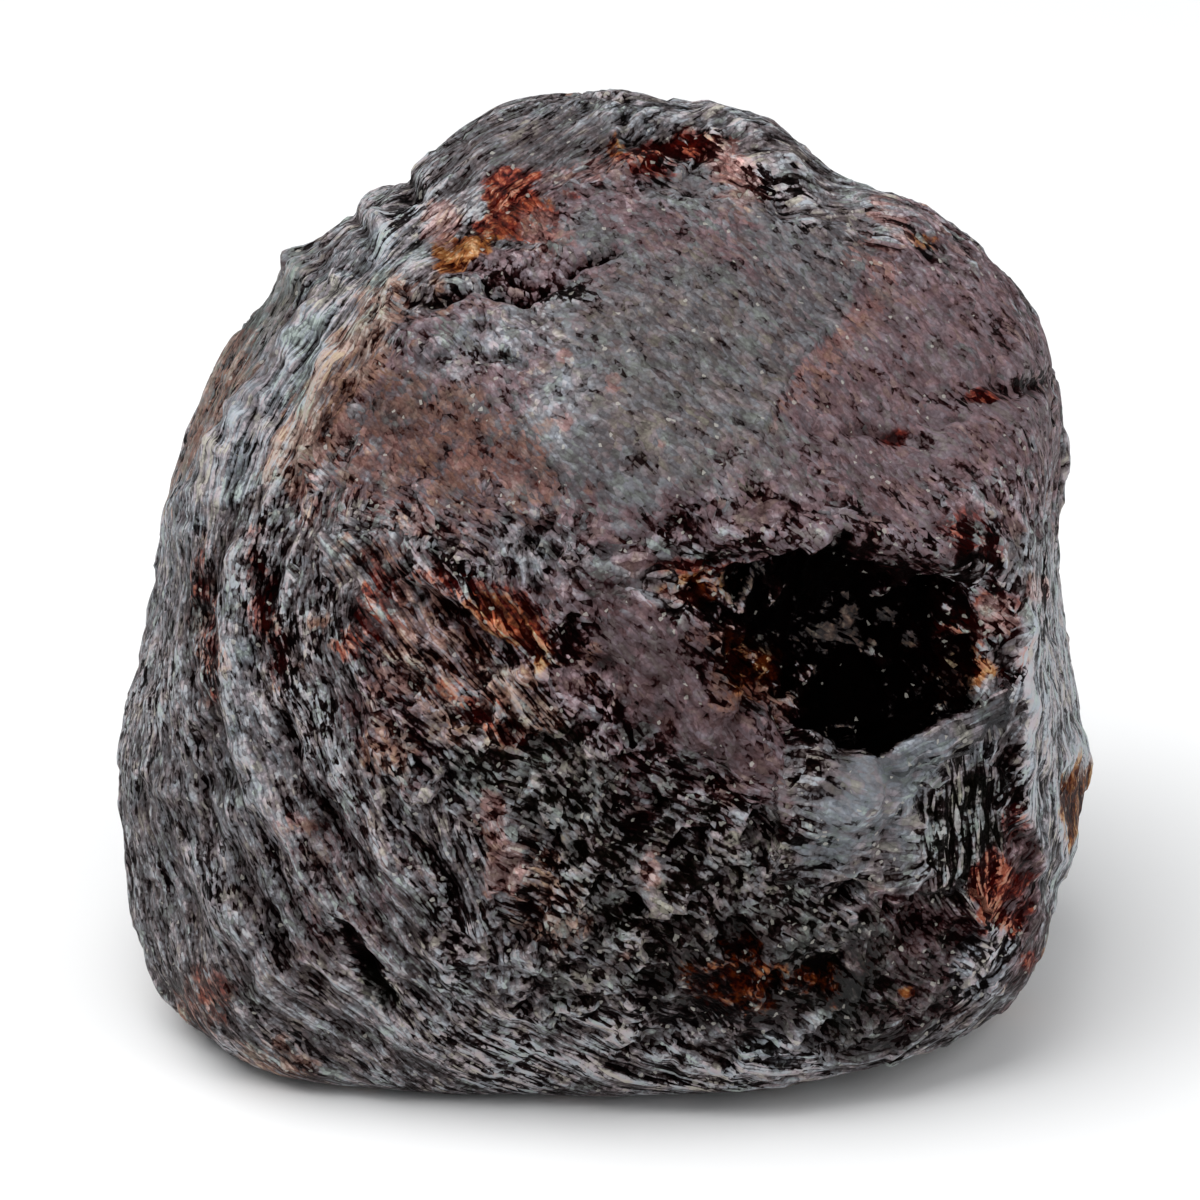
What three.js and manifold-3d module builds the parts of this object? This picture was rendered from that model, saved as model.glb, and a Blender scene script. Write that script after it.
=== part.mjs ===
// A rough, worn garnet crystal: one solid lump with soft crystal faces, a thin schist skin in layers, and a broken
// hollow in its front. Millimetres, +Z up. The front looks along -Y, and the origin is on the resting flat, below the
// middle of the stone.
import * as THREE from "three";
import { mergeVertices } from "three/addons/utils/BufferGeometryUtils.js";
import { ImprovedNoise } from "three/addons/math/ImprovedNoise.js";
import Module from "manifold-3d";

// Driving dimensions.
const LAYER_TILT = 22; // degrees that the front of the schist layers looks up from level
const CENTRE_HEIGHT = 15.6; // from the resting flat to the point that the faces are measured from
const EDGE_SHARPNESS = 26; // higher wears the edges between faces less
const SPHERE_DETAIL = 17; // rows of triangles along each edge of the starting icosahedron, less one
const FRONT_CROWDING = 0.22; // share of a radius that the triangles are drawn towards the detailed front
const LUMPS = [
  { wavelength: 9.0, height: 0.55 },
  { wavelength: 4.2, height: 0.3 },
];
const LUMP_SHIFT = new THREE.Vector3(5.3, 2.1, 8.7); // moves the lumps' noise off its own regular grid points
const HOLLOW_FADE = 12; // how far behind the centre a hollow on the rim fades out
const CUT_BLOCK = 100; // side of the block that cuts the resting flat
const WELD = 1e-5; // points closer than this are one point

// The crystal's faces. "around" is the direction round the rim, in degrees anticlockwise from the right as seen from
// the front, "lean" the degrees that the face leans to the front, and "reach" its distance from the centre.
const FACES = [
  { name: "right side", around: 0, lean: 8, reach: 18.1 },
  { name: "right shoulder", around: 25, lean: 0, reach: 20.3 },
  { name: "upper right", around: 56, lean: -4, reach: 19.4 },
  { name: "top", around: 89, lean: 4, reach: 19.6 },
  { name: "upper left", around: 128, lean: 2, reach: 17.7 },
  { name: "left shoulder", around: 143, lean: 14, reach: 17.5 },
  { name: "left side", around: 168, lean: 8, reach: 16.7 },
  { name: "lower left side", around: 194, lean: 4, reach: 20.4 },
  { name: "lower left corner", around: 231, lean: 6, reach: 23.8 },
  { name: "bottom front", around: 267, lean: 16, reach: 21.4 },
  { name: "lower right edge", around: 286, lean: 4, reach: 20.5 },
  { name: "lower right corner", around: 325, lean: 6, reach: 22.5 },
  { name: "lower right side", around: 344, lean: -4, reach: 21.6 },
  { name: "crown left", around: 100, lean: 46, reach: 16.6 },
  { name: "crown right", around: 56, lean: 48, reach: 17.0 },
  { name: "amber hump", around: 152, lean: 56, reach: 16.0 },
  { name: "left flank", around: 190, lean: 32, reach: 18.6 },
  { name: "front left", around: 205, lean: 66, reach: 16.2 },
  { name: "front middle", around: 270, lean: 78, reach: 15.6 },
  { name: "front low", around: 262, lean: 46, reach: 18.2 },
  { name: "front right", around: 318, lean: 58, reach: 17.4 },
  { name: "resting face", around: 270, lean: -LAYER_TILT, reach: 15.9 },
  { name: "back", around: 90, lean: -88, reach: 16.4 },
  { name: "back crown", around: 84, lean: -42, reach: 17.6 },
  { name: "back right", around: 18, lean: -40, reach: 18.2 },
  { name: "back left", around: 158, lean: -38, reach: 17.8 },
  { name: "back low left", around: 222, lean: -40, reach: 19.0 },
  { name: "back low right", around: 316, lean: -42, reach: 19.2 },
];

// Hollows worn or broken into the front, as ellipses seen from the front, measured from the centre.
const HOLLOWS = [
  { name: "black hollow", across: 10.0, up: -1.9, wide: 6.2, high: 4.0, turn: 12, depth: 2.4 },
  { name: "dish beside it", across: 4.6, up: 0.4, wide: 4.2, high: 2.0, turn: -6, depth: 0.7 },
  { name: "pitted hollow", across: 2.6, up: -8.4, wide: 7.0, high: 3.4, turn: -38, depth: 0.5 },
  { name: "ribbed hollow", across: -4.6, up: -2.2, wide: 4.8, high: 2.0, turn: -38, depth: 0.45 },
  { name: "right waist", across: 18.9, up: 0.4, wide: 3.2, high: 5.6, turn: 0, depth: 1.0 },
  { name: "top notch", across: 4.4, up: 17.0, wide: 3.2, high: 1.5, turn: -14, depth: 0.8 },
  { name: "shoulder saddle", across: 9.6, up: 16.6, wide: 1.8, high: 3.4, turn: 30, depth: 0.7 },
];

const RIGHT = new THREE.Vector3(1, 0, 0);
const TILT = THREE.MathUtils.degToRad(LAYER_TILT);
const FRONT = new THREE.Vector3(0, -Math.cos(TILT), Math.sin(TILT));
const UP = new THREE.Vector3(0, Math.sin(TILT), Math.cos(TILT));
const CENTRE = new THREE.Vector3(0, 0, CENTRE_HEIGHT);

// The outward direction of a face, from its two angles.
function faceNormal({ around, lean }) {
  const a = THREE.MathUtils.degToRad(around);
  const l = THREE.MathUtils.degToRad(lean);
  return new THREE.Vector3()
    .addScaledVector(RIGHT, Math.cos(l) * Math.cos(a))
    .addScaledVector(UP, Math.cos(l) * Math.sin(a))
    .addScaledVector(FRONT, Math.sin(l));
}

const PLANES = FACES.map((face) => ({ normal: faceNormal(face), reach: face.reach }));

// Distance from the centre to the worn polyhedron along a direction: a soft minimum over its faces.
function wornRadius(direction) {
  let sum = 0;
  for (const { normal, reach } of PLANES) {
    const facing = normal.dot(direction);
    if (facing > 0) sum += (facing / reach) ** EDGE_SHARPNESS;
  }
  return sum ** (-1 / EDGE_SHARPNESS);
}

// Height of the low, rounded lumps at a point.
const noise = new ImprovedNoise();
function lumpHeight(p) {
  return LUMPS.reduce((sum, { wavelength, height }) => {
    const at = p.clone().divideScalar(wavelength).add(LUMP_SHIFT);
    return sum + height * noise.noise(at.x, at.y, at.z);
  }, 0);
}

// How far a hollow sinks the surface at a point.
function hollowDepth(p, { across, up, wide, high, turn, depth }) {
  const onFront = THREE.MathUtils.smoothstep(p.dot(FRONT), -HOLLOW_FADE, 0);
  const t = THREE.MathUtils.degToRad(turn);
  const du = p.dot(RIGHT) - across;
  const dv = p.dot(UP) - up;
  const along = (du * Math.cos(t) + dv * Math.sin(t)) / wide;
  const over = (dv * Math.cos(t) - du * Math.sin(t)) / high;
  const rim = along * along + over * over;
  return rim < 1 ? onFront * depth * (1 - rim * rim) ** 2 : 0;
}

// The crystal as a closed surface, before its resting flat is cut.
function crystalSurface() {
  const sphere = new THREE.IcosahedronGeometry(1, SPHERE_DETAIL);
  sphere.deleteAttribute("normal");
  sphere.deleteAttribute("uv");
  const surface = mergeVertices(sphere, WELD);
  const position = surface.getAttribute("position");
  const direction = new THREE.Vector3();
  const point = new THREE.Vector3();
  for (let i = 0; i < position.count; i++) {
    direction.fromBufferAttribute(position, i).addScaledVector(FRONT, FRONT_CROWDING).normalize();
    point.copy(direction).multiplyScalar(wornRadius(direction));
    const sunk = HOLLOWS.reduce((sum, hollow) => sum + hollowDepth(point, hollow), 0);
    point.addScaledVector(direction, lumpHeight(point) - sunk).add(CENTRE);
    position.setXYZ(i, point.x, point.y, point.z);
  }
  return surface;
}

// Cuts the resting flat at z = 0 and gives the closed geometry.
async function cutFlat(surface) {
  const wasm = await Module();
  wasm.setup();
  const solidOf = (geometry) =>
    new wasm.Manifold(
      new wasm.Mesh({
        numProp: 3,
        vertProperties: new Float32Array(geometry.getAttribute("position").array),
        triVerts: new Uint32Array(geometry.index.array),
      }),
    );
  const block = new THREE.BoxGeometry(CUT_BLOCK, CUT_BLOCK, CUT_BLOCK).translate(0, 0, -CUT_BLOCK / 2);
  block.deleteAttribute("normal");
  block.deleteAttribute("uv");
  const mesh = solidOf(surface).subtract(solidOf(mergeVertices(block, WELD))).getMesh();
  return new THREE.BufferGeometry()
    .setAttribute("position", new THREE.BufferAttribute(mesh.vertProperties, 3))
    .setIndex(new THREE.BufferAttribute(mesh.triVerts, 1));
}

// Moves the crystal sideways until the origin is below its middle.
function centreOverOrigin(geometry) {
  geometry.computeBoundingBox();
  const middle = geometry.boundingBox.getCenter(new THREE.Vector3());
  return geometry.translate(-middle.x, -middle.y, 0);
}

const crystal = new THREE.Mesh(
  centreOverOrigin(await cutFlat(crystalSurface())),
  new THREE.MeshStandardMaterial({ color: 0x57494a, roughness: 0.55, metalness: 0.1, flatShading: true }),
);
crystal.name = "garnet_crystal";

const group = new THREE.Group();
group.add(crystal);
export default group;
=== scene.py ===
"""A rough garnet crystal with a skin of layered schist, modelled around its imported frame.

The stone is one closed mesh. It starts as a sphere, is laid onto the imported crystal, and is then
carved with folds, layers, hollows and broken ground. What the carving knows about each point, such as
how deep it lies and which mineral shows there, is kept in attributes that the stone's finish reads.
Sizes are in millimetres, measured from the stone's centre, until the mesh is scaled to metres.
"""

import logging
import math
from dataclasses import dataclass, field
from enum import Enum
from typing import ClassVar

import bmesh
import bpy
import numpy as np
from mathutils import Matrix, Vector, noise
from mathutils.bvhtree import BVHTree


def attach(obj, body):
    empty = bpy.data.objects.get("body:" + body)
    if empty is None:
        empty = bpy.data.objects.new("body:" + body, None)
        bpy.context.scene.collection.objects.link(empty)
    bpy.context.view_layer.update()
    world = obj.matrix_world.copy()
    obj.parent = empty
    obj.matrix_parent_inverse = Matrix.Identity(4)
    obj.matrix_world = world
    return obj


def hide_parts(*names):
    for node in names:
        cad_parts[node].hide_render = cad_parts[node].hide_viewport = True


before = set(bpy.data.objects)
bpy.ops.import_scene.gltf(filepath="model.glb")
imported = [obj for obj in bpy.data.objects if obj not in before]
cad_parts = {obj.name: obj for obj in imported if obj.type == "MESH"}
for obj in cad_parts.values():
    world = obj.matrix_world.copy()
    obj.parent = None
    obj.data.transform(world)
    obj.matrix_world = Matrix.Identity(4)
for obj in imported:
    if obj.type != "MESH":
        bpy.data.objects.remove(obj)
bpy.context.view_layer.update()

log = logging.getLogger("garnet")

Socket = bpy.types.NodeSocket
Colour = tuple[float, float, float]
Line = tuple[tuple[float, float], ...]

MM = 0.001
WELD = 1e-6  # metres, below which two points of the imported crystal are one
STONE_NODE = "garnet_crystal"
CREASE_SHIFT = 7.3  # keeps the finer crests of a noise off the larger ones
CREASE_STEEPNESS = 1.8  # how fast a crest falls away to both sides


class Mineral(Enum):
    """What shows at the surface, each kept as a share from 0 to 1 in an attribute of this name."""

    BLACK = "black_garnet"
    RED = "red_window"
    AMBER = "amber"
    PINK = "pink_grains"
    PURPLE = "purple_garnet"
    MICA = "grey_mica"
    GREEN = "green_black"
    RUST = "rust"


class Ground(Enum):
    """How the surface is worked, each kept as a share from 0 to 1 in an attribute of this name."""

    WRAP = "wrapping_layers"
    SCUFF = "scuffed_grain"
    BROKEN = "broken_ground"
    RIBBED = "ribbed_ground"


class Measure(Enum):
    """What the carving measures at each point, kept in an attribute of this name."""

    RELIEF = "relief"
    TONE = "base_tone"
    DARK = "dark_level"
    CONTRAST = "fine_contrast"
    ACROSS_WRAP = "across_layers"
    ACROSS_SCUFF = "across_scuffs"
    ACROSS_BROKEN = "across_splinters"
    ACROSS_RIBBED = "across_ribs"


@dataclass(frozen=True)
class Streak:
    """The fine streaks of one ground: how wide and long they are, and the attribute that counts them."""

    ground: Ground
    across: Measure
    width: float
    length: float


STREAKS = (
    Streak(Ground.WRAP, Measure.ACROSS_WRAP, 0.25, 0.48),
    Streak(Ground.SCUFF, Measure.ACROSS_SCUFF, 0.44, 0.44),
    Streak(Ground.BROKEN, Measure.ACROSS_BROKEN, 0.32, 0.42),
    Streak(Ground.RIBBED, Measure.ACROSS_RIBBED, 0.19, 1.1),
)


@dataclass(frozen=True)
class Viewpoint:
    """Where the front of the stone is looked at from, and the directions that go with it."""

    centre: tuple[float, float, float] = (-0.09, -0.81, 15.6)
    tilt: float = 22.0
    distance: float = 260.0
    lens: float = 200.0

    @property
    def right(self) -> np.ndarray:
        """The direction to the right, as seen from the front."""
        return np.array([1.0, 0.0, 0.0])

    @property
    def up(self) -> np.ndarray:
        """The direction that looks upward, as seen from the front."""
        angle = math.radians(self.tilt)
        return np.array([0.0, math.sin(angle), math.cos(angle)])

    @property
    def front(self) -> np.ndarray:
        """The direction from the stone to the viewer."""
        angle = math.radians(self.tilt)
        return np.array([0.0, -math.cos(angle), math.sin(angle)])

    def seen(self, points: np.ndarray) -> np.ndarray:
        """Gives where points appear from the viewpoint.

        Args:
            points: Places in millimetres, from the stone's centre.

        Returns:
            Across and up in millimetres, in the plane through the centre.
        """
        nearer = self.distance / (self.distance - points @ self.front)
        return np.stack([points @ self.right, points @ self.up], axis=1) * nearer[:, None]

    def slanted(self, degrees: float) -> np.ndarray:
        """The direction across grain that runs at some degrees anticlockwise from the right."""
        angle = math.radians(degrees + 90.0)
        return math.cos(angle) * self.right + math.sin(angle) * self.up


def smoothstep(low: float, high: float, value: np.ndarray) -> np.ndarray:
    """Eases from 0 at low to 1 at high, for arrays."""
    share = np.clip((value - low) / (high - low), 0.0, 1.0)
    return share * share * (3.0 - 2.0 * share)


def turned(across: np.ndarray, up: np.ndarray, degrees: float) -> tuple[np.ndarray, np.ndarray]:
    """Turns places, so that they are counted along and over a slanting axis.

    Args:
        across: How far across each place lies.
        up: How far up each place lies.
        degrees: How far the axis is turned anticlockwise from the right.

    Returns:
        How far along the axis, and how far over it, each place lies.
    """
    c, s = math.cos(math.radians(degrees)), math.sin(math.radians(degrees))
    return across * c + up * s, up * c - across * s


def cloudy(points: np.ndarray, size: float, octaves: int = 3, shift: float = 0.0) -> np.ndarray:
    """Gives cloudy noise, about -1 to 1, whose largest lumps have the given size.

    Args:
        points: Where the noise is read.
        size: The width of the largest lumps, in the units of the points.
        octaves: How many times finer lumps are added.
        shift: Moves the pattern, so that two layers of noise differ.

    Returns:
        One value for each point.
    """
    places = (points / size + shift).tolist()
    return np.array([noise.fractal(place, 1.0, 2.0, octaves) for place in places])


def creases(points: np.ndarray, size: float, octaves: int = 3, shift: float = 0.0) -> np.ndarray:
    """Gives noise with sharp crests.

    Args:
        points: Where the noise is read.
        size: How far apart the largest crests are, in the units of the points.
        octaves: How many times finer crests are added.
        shift: Moves the pattern, so that two layers of noise differ.

    Returns:
        One value for each point: 1 on a crest, falling to 0 between crests.
    """
    total = np.zeros(len(points))
    weight, most = 1.0, 0.0
    for octave in range(octaves):
        places = (points * 2.0**octave / size + shift + CREASE_SHIFT * octave).tolist()
        values = np.array([noise.noise(place) for place in places])
        total += weight * (1.0 - np.abs(values) * CREASE_STEEPNESS)
        most += weight
        weight *= 0.5
    return np.clip(total / most, 0.0, 1.0)


def shards(points: np.ndarray, size: float, slope: float, shift: float = 0.0) -> np.ndarray:
    """Gives broken ground: flat splinters at different heights, each with its own slope.

    Args:
        points: Where the ground is read.
        size: How wide a splinter is, in the units of the points.
        slope: How steeply splinters lean.
        shift: Moves the pattern, so that two sizes of splinter differ.

    Returns:
        A height for each point, about -1 to 1.
    """
    places = points / size + shift
    centres = np.array([noise.voronoi(place)[1][0][:] for place in places.tolist()])
    found, number = np.unique(centres.round(4), axis=0, return_inverse=True)
    chance = np.random.default_rng(int(shift * 10) + 3)
    heights = chance.uniform(-0.5, 0.5, len(found))
    leans = chance.normal(0.0, slope, (len(found), 3))
    number = number.reshape(-1)
    return heights[number] + np.einsum("ij,ij->i", places - centres, leans[number])


def read_vectors(mesh: bpy.types.Mesh, what: str) -> np.ndarray:
    """Reads three numbers for each point of a mesh.

    Args:
        mesh: The mesh.
        what: The name of what is read, such as co for the place.

    Returns:
        One row of three numbers for each point.
    """
    flat = np.empty(len(mesh.vertices) * 3)
    mesh.vertices.foreach_get(what, flat)
    return flat.reshape(-1, 3)


def rounded(line: Line, rounds: int = 2) -> np.ndarray:
    """Rounds the corners of a line by cutting them off.

    Args:
        line: The places that the line runs through.
        rounds: How many times each corner is cut.

    Returns:
        The places of the rounded line, with the same two ends.
    """
    stops = np.array(line)
    for _ in range(rounds):
        early, late = 0.75 * stops[:-1] + 0.25 * stops[1:], 0.25 * stops[:-1] + 0.75 * stops[1:]
        cut = np.stack([early, late], axis=1).reshape(-1, 2)
        stops = np.concatenate([stops[:1], cut, stops[-1:]])
    return stops


def along_line(seen: np.ndarray, stops: np.ndarray) -> tuple[np.ndarray, np.ndarray]:
    """Finds how places lie to a line.

    Args:
        seen: Across and up for each point.
        stops: The places that the line runs through.

    Returns:
        The distance from the line, above 0 on its left, and the share of the line that lies before.
    """
    lengths = np.linalg.norm(np.diff(stops, axis=0), axis=1)
    run = np.concatenate([[0.0], np.cumsum(lengths)])
    nearest = np.full(len(seen), np.inf)
    side = np.ones(len(seen))
    at = np.zeros(len(seen))
    for start, end, length, before in zip(stops[:-1], stops[1:], lengths, run[:-1]):
        way = end - start
        off = seen - start
        along = np.clip(off @ way / length**2, 0.0, 1.0)
        away = np.linalg.norm(off - along[:, None] * way, axis=1)
        closer = away < nearest
        nearest = np.where(closer, away, nearest)
        side = np.where(closer, np.sign(way[0] * off[:, 1] - way[1] * off[:, 0]), side)
        at = np.where(closer, (before + along * length) / run[-1], at)
    return nearest * side, at


@dataclass(frozen=True)
class Fold:
    """A ridge, or a groove with a height below 0, along a line of places seen from the front."""

    line: Line
    width: float
    height: float

    def lift(self, seen: np.ndarray) -> np.ndarray:
        """Gives how far the fold lifts each place.

        Args:
            seen: Across and up for each point.

        Returns:
            The lift in millimetres, fading to nothing at both ends of the line.
        """
        away, at = along_line(seen, rounded(self.line, 1))
        ends = smoothstep(0.0, 0.2, at) * smoothstep(0.0, 0.2, 1.0 - at)
        return self.height * np.exp(-((away / self.width) ** 2)) * ends


# Crisp edges on the front: the step down the crown, the left side of the right flank, and the rim between
# the black hollow and the pale band. A patch with an edge stops there, and lies only on the left of it.
CROWN_STEP = ((11.6, 15.6), (10.4, 13.2), (9.5, 11.0), (7.6, 9.0), (6.4, 6.6), (4.6, 3.4), (4.0, 1.0))
FLANK_EDGE = ((16.2, -13.6), (17.3, -11.4), (16.5, -8.0), (16.2, -4.0), (16.5, 0.4), (17.2, 2.6))
BAND_RIM = ((17.4, -3.0), (14.4, -4.2), (12.2, -5.3), (10.6, -6.2), (8.6, -6.7), (6.6, -6.4))


@dataclass(frozen=True)
class Patch:
    """A ragged, soft-edged ellipse on the front."""

    across: float
    up: float
    wide: float
    high: float
    turn: float = 0.0
    strength: float = 1.0
    ragged: float = 0.35
    edge: Line = ()
    edge_soft: float = 0.12
    # Where the patch ends and where it is full, as shares of its half width, and the width that fully bends.
    fading: ClassVar[tuple[float, float]] = (1.15, 0.6)
    bending_width: ClassVar[float] = 3.0

    def share(self, seen: np.ndarray, bend: np.ndarray, rough: np.ndarray) -> np.ndarray:
        """Gives how much of the patch is at each place.

        Args:
            seen: Across and up for each point.
            bend: How far each place is pushed aside, so that a large patch isn't a plain ellipse.
            rough: Noise that makes the edge ragged.

        Returns:
            A share from 0 to the patch's strength.
        """
        bent = seen + min(1.0, math.sqrt(self.wide * self.high) / self.bending_width) * bend
        along, over = turned(bent[:, 0] - self.across, bent[:, 1] - self.up, self.turn)
        rim = np.hypot(along / self.wide, over / self.high) + self.ragged * rough
        share = self.strength * smoothstep(*self.fading, rim)
        if self.edge:
            beside, _ = along_line(seen + 0.18 * bend, rounded(self.edge, 1))
            share *= smoothstep(-self.edge_soft, self.edge_soft, beside + 0.15 * rough)
        return share


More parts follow.
